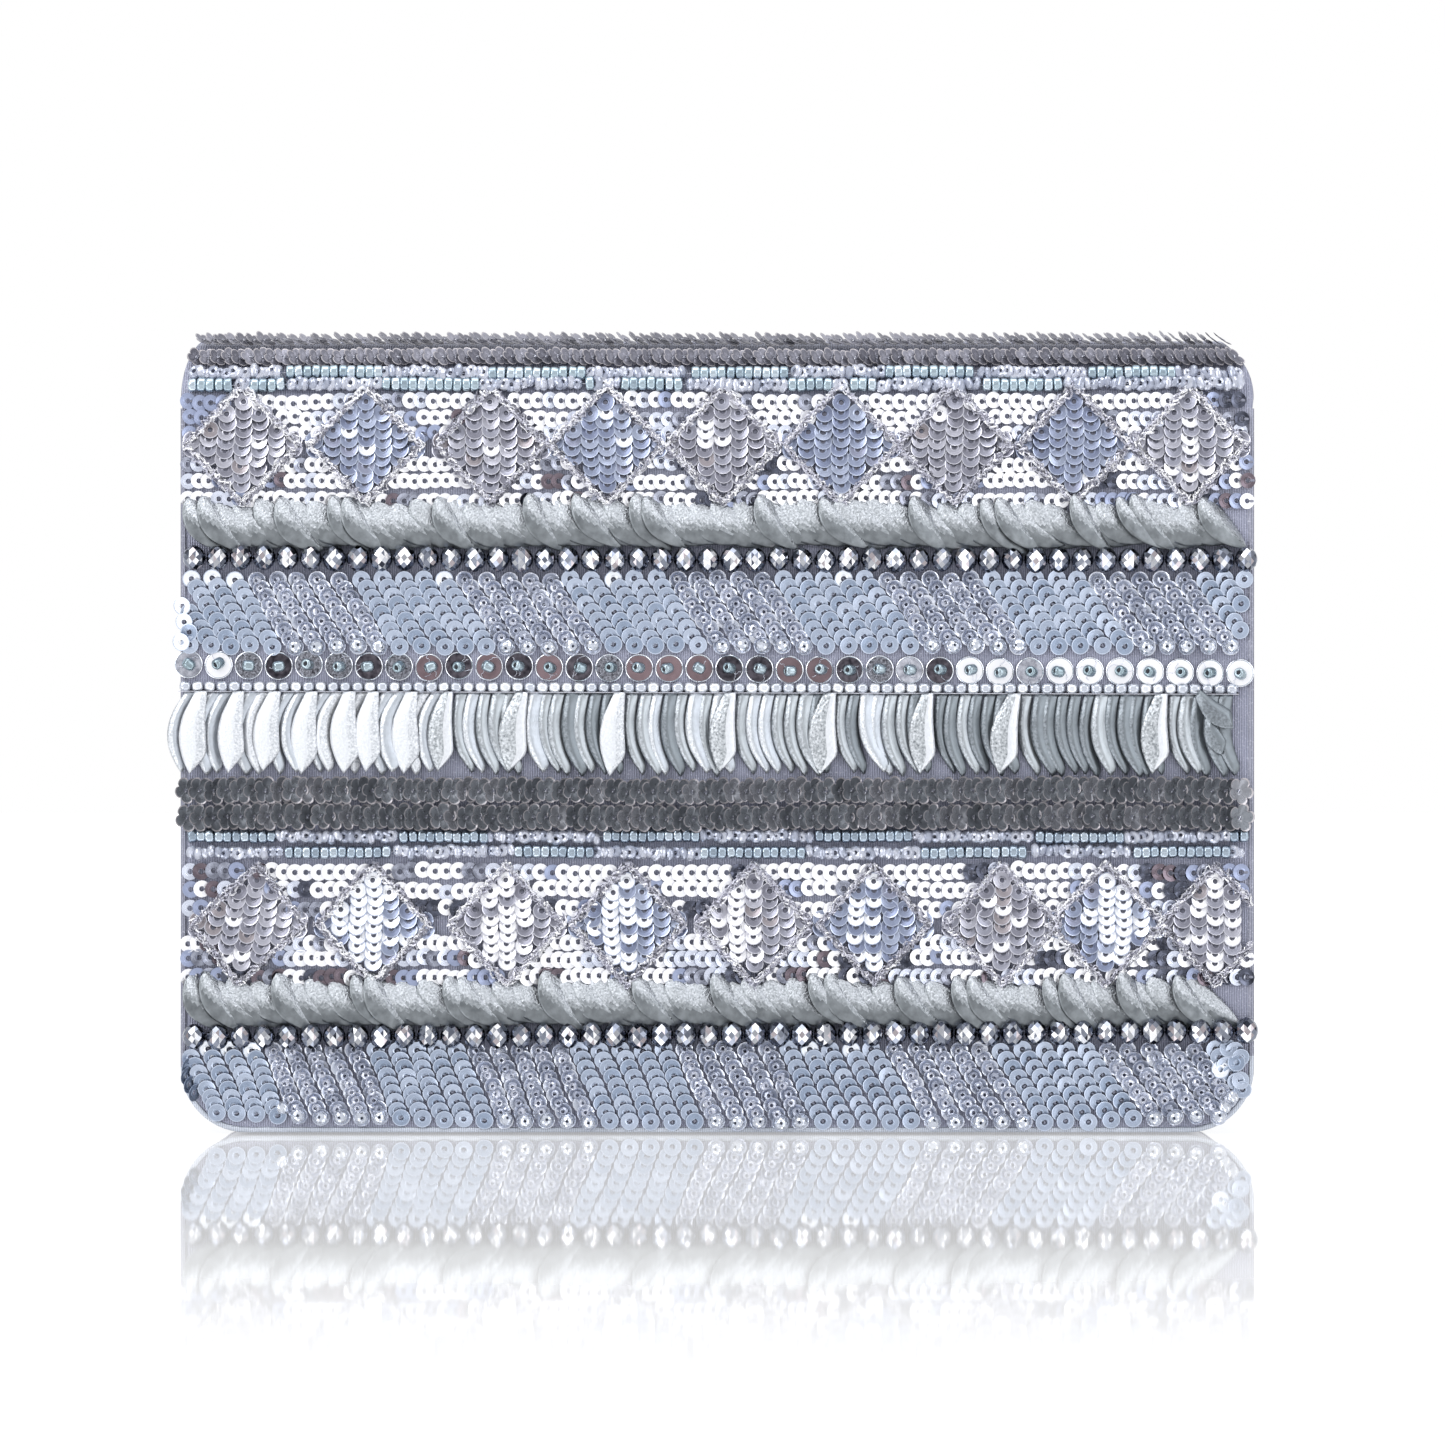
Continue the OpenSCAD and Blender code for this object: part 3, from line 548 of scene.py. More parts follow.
# painted reflections: the pale, grey, dark and lavender copies of the one silver sequin stand for what it reflects
MIRROR = [
    shader("mirror_sequin_white", lin(244, 244, 248), 0.7, 0.3, 0.02, 500, 0.06),
    shader("mirror_sequin_painted_pale_reflection", lin(206, 211, 226), 0.85, 0.26, 0.05, 500, 0.06),
    shader("mirror_sequin_painted_grey_reflection", lin(118, 121, 136), 1.0, 0.2, 0.25, 500, 0.06, tint=lin(180, 184, 200)),
    shader("mirror_sequin_painted_dark_reflection", lin(56, 58, 68), 1.0, 0.16, 0.3, 500, 0.06, tint=lin(104, 108, 124)),
    shader("mirror_sequin_brown", lin(110, 100, 108), 1.0, 0.2, 0.2, 500, 0.06),
    shader("mirror_sequin_painted_lavender_reflection", lin(152, 161, 188), 0.8, 0.3, 0.08, 500, 0.06),
]
WARM = [
    shader("warm_sequin_a", lin(146, 147, 160), 0.75, 0.32, 0.06, 500, 0.06),
    shader("warm_sequin_b", lin(128, 128, 140), 0.75, 0.34, 0.08, 500, 0.06),
    shader("warm_sequin_c", lin(168, 168, 179), 0.8, 0.3, 0.06, 500, 0.06),
    shader("warm_sequin_d", lin(148, 142, 147), 0.75, 0.32, 0.08, 500, 0.06),
    # painted glare: white for sequins shown catching the lamps
    shader("warm_sequin_painted_glare", lin(244, 244, 248), 0.75, 0.28, 0.02, 500, 0.05),
    # painted highlight for the sequins' outer band
    shader("warm_sequin_painted_highlight_rim", lin(196, 196, 206), 0.8, 0.24, 0.05, 500, 0.06),
]
LAV = [
    shader("lavender_sequin_a", lin(137, 145, 168), 0.75, 0.32, 0.05, 500, 0.06),
    shader("lavender_sequin_b", lin(123, 131, 156), 0.75, 0.34, 0.06, 500, 0.06),
    shader("lavender_sequin_c", lin(156, 164, 185), 0.8, 0.3, 0.05, 500, 0.06),
    shader("lavender_sequin_d", lin(142, 146, 167), 0.75, 0.32, 0.05, 500, 0.06),
    # painted glare: white for sequins shown catching the lamps
    shader("lavender_sequin_painted_glare", lin(242, 244, 250), 0.75, 0.28, 0.02, 500, 0.05),
    # painted highlight for the sequins' outer band
    shader("lavender_sequin_painted_highlight_rim", lin(178, 186, 206), 0.8, 0.24, 0.05, 500, 0.06),
]
BLUE = [
    shader("blue_sequin_a", lin(160, 171, 190), 0.75, 0.34, 0.05, 500, 0.06),
    shader("blue_sequin_b", lin(144, 157, 178), 0.75, 0.36, 0.06, 500, 0.06),
    shader("blue_sequin_c", lin(178, 188, 206), 0.8, 0.32, 0.05, 500, 0.06),
    # painted glare: white for sequins shown catching the lamps
    shader("blue_sequin_painted_glare", lin(238, 242, 248), 0.75, 0.3, 0.02, 500, 0.05),
    # painted highlight for the sequins' outer band
    shader("blue_sequin_painted_highlight_rim", lin(190, 200, 218), 0.8, 0.28, 0.05, 500, 0.06),
]
CORD = [
    shader("metallic_thread_a", lin(196, 196, 206), 0.95, 0.3, 0.3, 2500, 0.12, 0.08, 6000),
    shader("metallic_thread_b", lin(148, 148, 158), 0.95, 0.34, 0.3, 2500, 0.12, 0.08, 6000),
    shader("metallic_thread_c", lin(240, 240, 246), 0.9, 0.26, 0.15, 2500, 0.1, 0.08, 6000),
]
LEAF = [
    shader("laid_leaf_rough_grain_and_painted_light", lin(152, 157, 162), 0.85, 0.32, 0.1, 2300, 0.1, 0.26, 2300, tint=lin(200, 204, 210)),
    shader("laid_leaf_smooth_grain_and_painted_shade", lin(108, 113, 117), 0.75, 0.38, 0.12, 500, 0.08, 0.05, 1300, tint=lin(134, 139, 143)),
    shader("laid_leaf_between", lin(128, 133, 137), 0.8, 0.35, 0.12, 1800, 0.1, 0.16, 2100, tint=lin(168, 173, 178)),
]
# painted reflections: copies of one gunmetal bead, each facet given one by the way it faces
FACET = [
    shader("faceted_bead_mid", lin(134, 139, 152), 1.0, 0.12, 0.1, 300, 0.04),
    shader("faceted_bead_painted_dark_reflection", lin(104, 109, 122), 1.0, 0.1, 0.2, 300, 0.04),
    shader("faceted_bead_painted_light_reflection", lin(176, 178, 184), 1.0, 0.14, 0.1, 300, 0.04),
    shader("faceted_bead_painted_highlight", lin(240, 240, 242), 0.85, 0.22, 0.04, 300, 0.04),
    shader("faceted_bead_painted_deep_shade", lin(56, 59, 70), 1.0, 0.1, 0.3, 300, 0.04),
    shader("faceted_bead_rose", lin(170, 162, 166), 1.0, 0.14, 0.1, 300, 0.04),
]
DISC = [
    shader("large_disc_white", lin(246, 246, 250), 0.75, 0.3, 0.02, 300, 0.05),
    shader("large_disc_dark", lin(52, 50, 58), 1.0, 0.14, 0.35, 900, 0.05, tint=lin(96, 92, 100)),
    shader("large_disc_rose", lin(126, 109, 114), 1.0, 0.2, 0.14, 500, 0.05),
    shader("large_disc_crackle", lin(54, 54, 62), 0.95, 0.24, 0.3, 2200, 0.1, 0.06, 2200, tint=lin(158, 160, 170)),
    shader("large_disc_grey", lin(150, 152, 164), 0.9, 0.24, 0.16, 900, 0.06, tint=lin(200, 202, 212)),
    # painted highlight for the discs' outer band
    shader("large_disc_painted_highlight_rim", lin(232, 234, 240), 0.9, 0.2, 0.04, 500, 0.05),
]
DISC_BEAD = [
    shader("disc_bead_a", lin(140, 156, 164), 0.85, 0.24, 0.08, 900, 0.05),
    shader("disc_bead_b", lin(156, 170, 178), 0.85, 0.22, 0.08, 900, 0.05),
]
# painted shade: the dark in the disc beads' holes, the leaf pinholes and the dot under each fringe bead
PAINTED_SHADE = shader("painted_shade_dark", lin(40, 42, 48), 0.3, 0.5, 0.2, 900, 0.1)
# pairs of materials, the first for a leaf's left part, the second for the part right of its ridge; the bright, pale and
# lit pairs paint light, the dim pair paints shade
FRINGE = [
    shader("hanging_leaf_grain", lin(140, 146, 151), 0.8, 0.34, 0.12, 1900, 0.1, 0.1, 2600, tint=lin(192, 197, 203)),
    shader("hanging_leaf_smooth", lin(166, 172, 177), 0.75, 0.34, 0.08, 700, 0.08, 0.03, 1800),
    shader("hanging_leaf_painted_light", lin(214, 217, 222), 0.55, 0.42, 0.08, 2300, 0.08, 0.12, 2400),
    shader("hanging_leaf_painted_light_b", lin(184, 189, 196), 0.6, 0.4, 0.1, 2300, 0.08, 0.16, 2400, tint=lin(232, 234, 238)),
    shader("hanging_leaf_painted_shade", lin(108, 114, 120), 0.8, 0.34, 0.1, 1900, 0.1, 0.08, 2600, tint=lin(146, 153, 160)),
    shader("hanging_leaf_painted_shade_b", lin(124, 131, 137), 0.75, 0.36, 0.08, 700, 0.08, 0.03, 1800),
    shader("hanging_leaf_painted_pale_light", lin(184, 189, 195), 0.7, 0.36, 0.1, 2300, 0.08, 0.12, 2400, tint=lin(226, 229, 234)),
    shader("hanging_leaf_painted_pale_light_b", lin(184, 190, 198), 0.7, 0.36, 0.08, 900, 0.08, 0.06, 2400),
    shader("hanging_leaf_painted_lit_grain", lin(138, 144, 149), 0.85, 0.32, 0.15, 1900, 0.12, 0.14, 2200, tint=lin(214, 218, 223)),
    shader("hanging_leaf_painted_lit", lin(218, 221, 226), 0.65, 0.36, 0.06, 1500, 0.08, 0.1, 2400),
]


# ---- placing helpers ----------------------------------------------------------
def px(x):
    """The photographed frame's column to millimetres along X: the flap is 230 mm over 1073 columns."""
    return (np.asarray(x, float) - 717.5) / 4.667


def pz(y):
    """Row to millimetres above the flap's lower edge, on the flat of the flap."""
    return (1134.0 - np.asarray(y, float)) / 4.667


def finish_piece(o, body, nodes=()):
    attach(o, body)
    if nodes:
        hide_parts(*nodes)
    return o


def pick(n, weights):
    w = np.asarray(weights, float)
    return rng.choice(len(w), n, p=w / w.sum())


def wavy(x, amp, k):
    x = np.asarray(x, float)
    return amp * (np.sin(x / 23.0 + k) * 0.6 + np.sin(x / 9.1 + 2.3 * k) * 0.4)


# ---- cloth, lining and other sheets -------------------------------------------
def sheet_grid(rows, nu, sides, rim, height=None):
    """rows are (s, half width, nx, ns) with s rising. sides lists the edges that get a rim, in anticlockwise order: B, R, T, L."""
    us = np.sin(np.linspace(-1, 1, nu + 1) * pi / 2 * 0.86) / math.sin(pi / 2 * 0.86)
    nv = len(rows)
    rows = np.array(rows, float)
    X = us[None, :] * rows[:, 1:2]
    S = np.repeat(rows[:, :1], nu + 1, 1)
    V = np.stack([X, S, np.zeros_like(X)], -1).reshape(-1, 3)
    if height is not None:
        fade = np.minimum(1, (rows[:, 1:2] - np.abs(X)) / 4.0).reshape(-1)
        V[:, 2] = height(V[:, 0], V[:, 1]) * fade
    j, i = np.meshgrid(np.arange(nv - 1), np.arange(nu), indexing="ij")
    a = j * (nu + 1) + i
    q = np.stack([a, a + 1, a + nu + 2, a + nu + 1], -1).reshape(-1, 4)
    b = Build()
    edge = {
        "B": [(i, (0.0, -1.0)) for i in range(nu + 1)],
        "R": [(j * (nu + 1) + nu, (rows[j, 2], rows[j, 3])) for j in range(nv)],
        "T": [((nv - 1) * (nu + 1) + i, (0.0, 1.0)) for i in range(nu, -1, -1)],
        "L": [(j * (nu + 1), (-rows[j, 2], rows[j, 3])) for j in range(nv - 1, -1, -1)],
    }
    loop = []
    for side in sides:
        for k, nrm in edge[side]:
            if loop and loop[-1][0] == k:
                m = np.array(loop[-1][1]) + np.array(nrm)
                loop[-1] = (k, tuple(m / np.linalg.norm(m)))
            else:
                loop.append((k, nrm))
    closed = len(sides) == 4
    if closed:
        m = np.array(loop[0][1]) + np.array(loop[-1][1])
        loop = loop[:-1]
        loop[0] = (loop[0][0], tuple(m / np.linalg.norm(m)))
    ids = np.array([k for k, _ in loop])
    nrm = np.array([n for _, n in loop])
    extra, faces, prev = [], [q], ids
    base = len(V)
    for a_, h_ in rim:
        ring = V[ids].copy()
        ring[:, :2] += nrm * a_
        ring[:, 2] = h_
        now = base + np.arange(len(ids))
        base += len(ids)
        extra.append(ring)
        n = len(ids)
        k = np.arange(n if closed else n - 1)
        k2 = (k + 1) % n
        faces.append(np.stack([prev[k], now[k], now[k2], prev[k2]], -1))
        prev = now
    b.add(np.concatenate([V, *extra]), np.concatenate(faces))
    return b


def corner_rows(hw, z0, r, inset, n=9):
    """Rows of a panel's round bottom corners, from the lower edge up."""
    out = []
    for k in range(n):
        f = k / n * pi / 2
        out.append((z0 + r - (r - inset) * math.cos(f), hw - r + (r - inset) * math.sin(f), math.sin(f), -math.cos(f)))
    return out


def straight(svals, hw, inset):
    return [(s, hw - inset, 1.0, 0.0) for s in svals]


def roll(er, depth, way=1):
    out = [(er * math.sin(f), -er * (1 - math.cos(f))) for f in np.radians([22.5, 45, 67.5, 90])]
    return out + [(er, -er - (depth - er) * 0.5), (er, -depth)]


def puckers(seed, amp):
    g = np.random.default_rng(seed)
    k = g.normal(0, 1, (7, 2)) * [0.05, 0.07]
    ph = g.uniform(0, 2 * pi, 7)
    return lambda x, s: amp * sum(np.sin(x * a + s * b_ + c) for (a, b_), c in zip(k, ph)) / 3


def cloth_piece(b, name, mat_, to, thick=0.42, side=-1.0):
    o = b.mesh(name, mat_ if isinstance(mat_, list) else [mat_], to, True)
    sol = o.modifiers.new("thickness", "SOLIDIFY")
    sol.thickness = thick * 0.001
    sol.offset = side
    sol.use_even_offset = False
    return o


A1, A2 = arc_s(18.0), arc_s(-24.0)  # where one fold cloth meets the next
ER = 0.6
DEEP = WRAP - 0.5

# the flap's cloth, from its lower edge over the front crease
rows = corner_rows(HW - 0.7, Z0 + 0.7, CR - 0.7, ER)
rows += straight(np.linspace(Z0 + CR, FCZ - 4, 46), HW - 0.7, ER)
rows += [(s, HW - 0.7 * (1 - k), 1.0, 0.0) for s, k in zip(np.linspace(FCZ - 3, FCZ + 3, 5), np.linspace(0, 1, 5))]
rows = [(s, w - (ER if i >= len(rows) - 5 else 0), a, c) for i, (s, w, a, c) in enumerate(rows)]
rows += straight(np.linspace(FCZ + 4, A1, 16), HW, ER)
b = sheet_grid(rows, 96, ["L", "B", "R"], roll(ER, DEEP), puckers(3, 0.05))
flap_cloth = cloth_piece(b, "flap_cloth", CLOTH, skin)
# the cloth over the top of the fold
b = sheet_grid(straight(np.linspace(A1, A2, 14), HW, ER), 96, ["L"], roll(ER, DEEP))
b2 = sheet_grid(straight(np.linspace(A1, A2, 14), HW, ER), 96, ["R"], roll(ER, DEEP))


def two_sided(rows_, nu, rim, height=None):
    """A grid with a rim along both long sides, as one mesh."""
    g = sheet_grid(rows_, nu, ["R"], rim, height)
    h = sheet_grid(rows_, nu, ["L"], rim, height)
    n = (nu + 1) * len(rows_)
    V1, F1 = g.v[0], g.f[0]
    V2, F2 = h.v[0], h.f[0]
    grid_faces = nu * (len(rows_) - 1)
    add = F2[grid_faces:]
    shift = len(V1) - n
    add = np.where(add >= n, add + shift, add)
    out = Build()
    out.add(np.concatenate([V1, V2[n:]]), np.concatenate([F1, add]))
    return out


b = two_sided(straight(np.linspace(A1, A2, 14), HW, ER), 96, roll(ER, DEEP))
fold_cloth = cloth_piece(b, "fold_cloth", CLOTH, skin)


def flip_rows(rows_, total):
    """The same panel measured over the wrap, where the lower edge comes last."""
    return [(total - s, w, a, -c) for s, w, a, c in reversed(rows_)]


back_rows = corner_rows(HW, 0.0, CR + 2, ER) + straight(np.linspace(CR + 2, FCZ, 40), HW, ER)
rows = straight(np.linspace(A2, FCZ + R * pi - 1, 18), HW, ER) + flip_rows(back_rows, S_END)
b = sheet_grid(rows, 96, ["R", "T", "L"], roll(ER, DEEP), puckers(5, 0.12))
back_cloth = cloth_piece(b, "back_cloth", CLOTH, skin)

# linings, on the inside of the same wrap
LH = -(WRAP - 0.08)


def inside(P):
    Q = P.copy()
    Q[:, 2] = LH - P[:, 2]
    return skin(Q)


def lining_piece(b, name):
    for k in range(len(b.f)):
        b.f[k] = b.f[k][:, ::-1]
    return cloth_piece(b, name, SATIN, inside, 0.36)


LR = [(0.22, -0.03), (0.32, -0.12), (0.34, -0.3)]
LI = 1.2
rows = corner_rows(HW - LI, Z0 + LI, CR - LI, 0.4) + straight(np.linspace(Z0 + CR, FCZ - 1, 44), HW - LI, 0.4)
rows += straight(np.linspace(FCZ, A1, 18), HW - LI, 0.4)
flap_satin = lining_piece(sheet_grid(rows, 96, ["L", "B", "R"], LR, puckers(11, 0.05)), "flap_satin")
fold_satin = lining_piece(two_sided(straight(np.linspace(A1, A2, 14), HW - LI, 0.4), 96, LR), "fold_satin")
back_rows = corner_rows(HW - LI, LI, CR + 2 - LI, 0.4) + straight(np.linspace(CR + 2, FCZ, 40), HW - LI, 0.4)
rows = straight(np.linspace(A2, FCZ + R * pi - 1, 18), HW - LI, 0.4) + flip_rows(back_rows, S_END)
back_satin = lining_piece(sheet_grid(rows, 96, ["R", "T", "L"], LR, puckers(12, 0.05)), "back_satin")

# the front panel, cloth outside and satin inside
prow = corner_rows(BHW, 0.0, CR, ER) + straight(np.linspace(CR, MOUTH - ER, 44), BHW, ER)
b = sheet_grid(prow, 84, ["B", "R", "T", "L"], roll(ER, DEEP), puckers(21, 0.08))
panel_cloth = cloth_piece(b, "front_panel_cloth", CLOTH, plane(FPO, -1))
prow = corner_rows(BHW - LI, LI, CR - LI, 0.4) + straight(np.linspace(CR, MOUTH - LI - 0.4, 44), BHW - LI, 0.4)
b = sheet_grid(prow, 84, ["B", "R", "T", "L"], LR, puckers(22, 0.04))
for k in range(len(b.f)):
    b.f[k] = b.f[k][:, ::-1]
panel_satin = cloth_piece(b, "front_panel_satin", SATIN, lambda P: plane(FPI - 0.06, 1)(P), 0.36)


# the base strip and its lining, turned up round both bottom corners
def strip_path(off, hw, r, z_end, n=10):
    pts = [(-(hw - off), z_end)]
    for k in range(n + 1):
        f = k / n * pi / 2
        pts.append((-(hw - r) - (r - off) * math.cos(f), r - (r - off) * math.sin(f)))
    right = [(-x, z) for x, z in reversed(pts)]
    mid = [(x, off) for x in np.linspace(-(hw - r), hw - r, 40)[1:-1]]
    return pts + mid + right


def strip(name, off, mat_, y0, y1, up, ny=10, sag=0.0):
    path = np.array(strip_path(off, BHW, CR, CR + 2.0))
    ys = np.linspace(y0, y1, ny + 1)
    n = len(path)
    V = np.array([[x, y, z + sag * math.sin(pi * k / ny)] for x, z in path for k, y in enumerate(ys)])
    j, i = np.meshgrid(np.arange(n - 1), np.arange(ny), indexing="ij")
    a = j * (ny + 1) + i
    q = np.stack([a, a + 1, a + ny + 2, a + ny + 1], -1).reshape(-1, 4)
    if not up:
        q = q[:, ::-1]
    g = Build()
    g.add(V, q)
    return cloth_piece(g, name, mat_, metres, 0.36)


base_cloth = strip("base_cloth", 0.03, CLOTH, FPI - 1.6, BIN + 1.4, True)
for p_ in base_cloth.data.polygons:
    p_.flip() if p_.normal.z > 0.3 and abs(p_.center.x) < 0.08 else None
base_cloth.data.update()
base_satin = strip("base_satin", 2.12, SATIN, FPI + 0.1, BIN - 0.1, False, 10, 0.15)


def face_way(o, want):
    """Turns every face of o if most of them don't look the way wanted."""
    c = sum(p.normal.dot(want(p.center)) * p.area for p in o.data.polygons)
    if c < 0:
        o.data.flip_normals()


from mathutils import Vector

mid = Vector((0, (FPI + BIN) / 2000, 0.08))
for o in (base_cloth, panel_cloth, back_cloth, flap_cloth, fold_cloth):
    face_way(o, lambda c: c - mid)
for o in (base_satin, panel_satin, back_satin, flap_satin, fold_satin):
    face_way(o, lambda c: mid - c)


# side gussets: each hangs from both seams and folds inwards
def gusset(name, s, off, mat_, outwards):
    """off is how far the sheet's outer face lies inside the gusset's outside, square to it."""
    nu, nv = 40, 30
    G = np.zeros((nv + 1, nu + 1, 3))
    for j in range(nv + 1):
        v = j / nv
        z = CR * 0.55 + (MOUTH - 0.6 - CR * 0.55) * v
        vv = max(0.0, (z - CR) / (MOUTH - CR))
        m = 0.15 + 0.8 * vv
        rr = BHW if z > CR else BHW - CR + math.sqrt(max(CR**2 - (CR - z) ** 2, 0))
        for i in range(nu + 1):
            u = i / nu
            tent = 1 - math.sqrt((2 * u - 1) ** 2 + 0.012) + 0.05
            depth = 24.0 * vv * tent + 0.5 * math.sin(pi * u) * (1 - vv)
            ripple = 0.35 * math.sin(9 * u + 4 * v) * vv * math.sin(pi * u)
            mu = 0.1 + (m - 0.1) * min(1.0, min(u, 1 - u) / 0.07)  # turned out to the seams at both edges
            G[j, i] = [s * (rr - 0.25 - depth - ripple), FPI + mu + (BIN - FPI - 2 * mu) * u, z]
    if off:
        du, dv = np.gradient(G, axis=1), np.gradient(G, axis=0)
        nrm = np.cross(du, dv)
        nrm /= np.linalg.norm(nrm, axis=2)[..., None] + 1e-9
        nrm *= -s * np.sign(nrm[nv // 2, nu // 2, 0])
        G = G + off * nrm
        G[..., 1] = np.clip(G[..., 1], FPI + 0.1, BIN - 0.1)
    V = G.reshape(-1, 3)
    j, i = np.meshgrid(np.arange(nv), np.arange(nu), indexing="ij")
    a = j * (nu + 1) + i
    q = np.stack([a, a + 1, a + nu + 2, a + nu + 1], -1).reshape(-1, 4)
    g = Build()
    g.add(V, q)
    o = cloth_piece(g, name, mat_, metres, 0.36, -1.0)
    face_way(o, lambda c: Vector((s if outwards else -s, 0, 0)))
    return o


for side, s in (("left", -1), ("right", 1)):
    outer = gusset(f"gusset_cloth_{side}", s, 0.0, GUSSET, True)
    inner = gusset(f"gusset_satin_{side}", s, 0.85, GUSSET_SATIN, False)
    for o, node in ((outer, f"side_gusset_{side}"), (inner, f"gusset_lining_{side}")):
        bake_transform(o)
        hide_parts(node)

# a slip pocket on the back lining, gathered a little at its hem
PK = (-70.0, 70.0, 36.0, 106.0)
g = Build()
nu, nv = 48, 24
V = []
for j in range(nv + 1):
    v = j / nv
    for i in range(nu + 1):
        u = i / nu
        x, z = PK[0] + (PK[1] - PK[0]) * u, PK[2] + (PK[3] - PK[2]) * v
        h = 0.12 + 0.9 * v * math.sin(pi * u) ** 0.6 + 0.12 * math.sin(21 * u + 3 * v) * v * math.sin(pi * u)
        V.append([x, BIN - h, z])
j, i = np.meshgrid(np.arange(nv), np.arange(nu), indexing="ij")
a = j * (nu + 1) + i
g.add(np.array(V), np.stack([a, a + 1, a + nu + 2, a + nu + 1], -1).reshape(-1, 4))
pocket = cloth_piece(g, "slip_pocket_satin", SATIN, metres, 0.36)
face_way(pocket, lambda c: Vector((0, -1, 0)))

# the binding round the flap's free edge
hem = Build()
hrows = corner_rows(HW, Z0, CR, 0.0, 14) + straight(np.linspace(Z0 + CR, FCZ + 0.5, 60), HW, 0.0)
pts = [(-w, s, -a, c) for s, w, a, c in reversed(hrows)]
pts += [(x, Z0, 0.0, -1.0) for x in np.linspace(-(HW - CR), HW - CR, 110)[1:-1]]
pts += [(w, s, a, c) for s, w, a, c in hrows]
prof = [(-1.15, 0.06), (-0.9, 0.2), (-0.5, 0.3), (-0.12, 0.18), (0.02, -0.2), (0.03, -1.1), (0.02, -1.9), (-0.25, -WRAP - 0.12), (-1.2, -WRAP - 0.16)]
P0 = np.array(pts)
V = []
for k, (x, s, nx, ns) in enumerate(pts):
    w = 0.05 * math.sin(x * 0.9 + s * 0.7) + 0.04 * math.sin(x * 2.3 + 1.3 * s)
    side = min(max((s - Z0 - CR) / 6, 0.0), 1.0)  # the lip lies flatter up the sides
    for a_, h_ in prof:
        aa = a_ if h_ < -1 else a_ - 0.2 * side * (a_ < -1)
        V.append([x + nx * (aa - (w if a_ < -1 else 0)), s + ns * (aa - (w if a_ < -1 else 0)), (h_ + 0.3 * w) * (1 - 0.7 * side) if h_ > 0 else h_])
m = len(prof)
j, i = np.meshgrid(np.arange(len(pts) - 1), np.arange(m - 1), indexing="ij")
a = j * m + i
hem.add(np.array(V), np.stack([a, a + 1, a + m + 1, a + m], -1).reshape(-1, 4), np.repeat((P0[:-1, 1] > Z0 + CR + 1).astype(int), m - 1))
hem_o = cloth_piece(hem, "flap_binding", [BINDING, SIDE], skin, 0.16)
face_way(hem_o, lambda c: c - Vector((0, SKF / 1000 + 0.0011, 0.07)))

# running stitches
STITCH = lathe(
    [
        np.stack([np.full(6, x), rr * np.cos(np.arange(6) * pi / 3), rr * np.sin(np.arange(6) * pi / 3)], 1)
        for x, rr in [(-0.85, 0.03), (-0.7, 0.14), (-0.2, 0.17), (0.2, 0.17), (0.7, 0.14), (0.85, 0.03)]
    ],
    6,
)


def stitches(name, pts_, body, to, step=2.6):
    p = np.array(pts_, float)
    seg = np.linalg.norm(np.diff(p, axis=0), axis=1)
    d = np.concatenate([[0], np.cumsum(seg)])
    at = np.arange(step / 2, d[-1], step)
    q = np.stack([np.interp(at, d, p[:, k]) for k in range(3)], 1)
    t = np.stack([np.interp(at + 0.3, d, p[:, k]) for k in range(3)], 1) - np.stack(
        [np.interp(at - 0.3, d, p[:, k]) for k in range(3)], 1
    )
    b_ = Build()
    b_.place(STITCH, turned("z", np.arctan2(t[:, 1], t[:, 0]) + jit(len(q), 2)), q)
    return finish_piece(b_.mesh(name, [THREAD], to), body, ())


edge = [(-w, s, 0.1) for s, w, a_, c_ in reversed(corner_rows(HW - 3.2, Z0 + 3.2, CR - 3.2, 0.0) + straight(np.linspace(Z0 + CR, FCZ - 3, 12), HW - 3.2, 0.0))]
edge = edge + [(-x, s, h) for x, s, h in reversed(edge)]
stitches("flap_stitching", edge, "flap", inside)
hemst = [(-w, s, 0.12) for s, w, a_, c_ in reversed(corner_rows(BHW - 3, 3, CR - 3, 0.0) + straight(np.linspace(CR, MOUTH - 3, 8), BHW - 3, 0.0))]
hemst = hemst + [(-x, s, h) for x, s, h in reversed(hemst)] + [(-(BHW - 3), MOUTH - 3, 0.12)]
stitches("front_panel_stitching", hemst, "front_panel", plane(FPI, 1))
pk = [(PK[0] + 1, PK[3] - 1, 0.35), (PK[0] + 1, PK[2] + 1, 0.35), (PK[1] - 1, PK[2] + 1, 0.35), (PK[1] - 1, PK[3] - 1, 0.35)]
stitches("pocket_stitching", pk, "shell", plane(BIN, -1))
top_edge = [(x, PK[3] - 3, 0.45 + 0.85 * math.sin(pi * (x + 70) / 140) ** 0.6) for x in np.linspace(-69, 69, 60)]
stitches("pocket_hem_stitching", top_edge, "shell", plane(BIN, -1))


# ---- the wrap's sheets baked in place, and the body each other sheet goes with ---
def crease(theta, spread=9.0):
    """Start and end points across a crease, on the skin."""
    out = []
    for t in (theta - spread, theta + spread):
        t = math.radians(t)
        out.append((0.0, (FCY - R * math.sin(t)) / 1000, (FCZ + R * math.cos(t)) / 1000))
    return out


J = {j["name"]: j for j in frame["joints"]}


def crease_angle(name):
    """The crease's angle on the fold, from its joint's place."""
    y, z = J[name]["pos_m"][1:]
    return math.degrees(math.atan2(FCY / 1000 - y, z - FCZ / 1000))


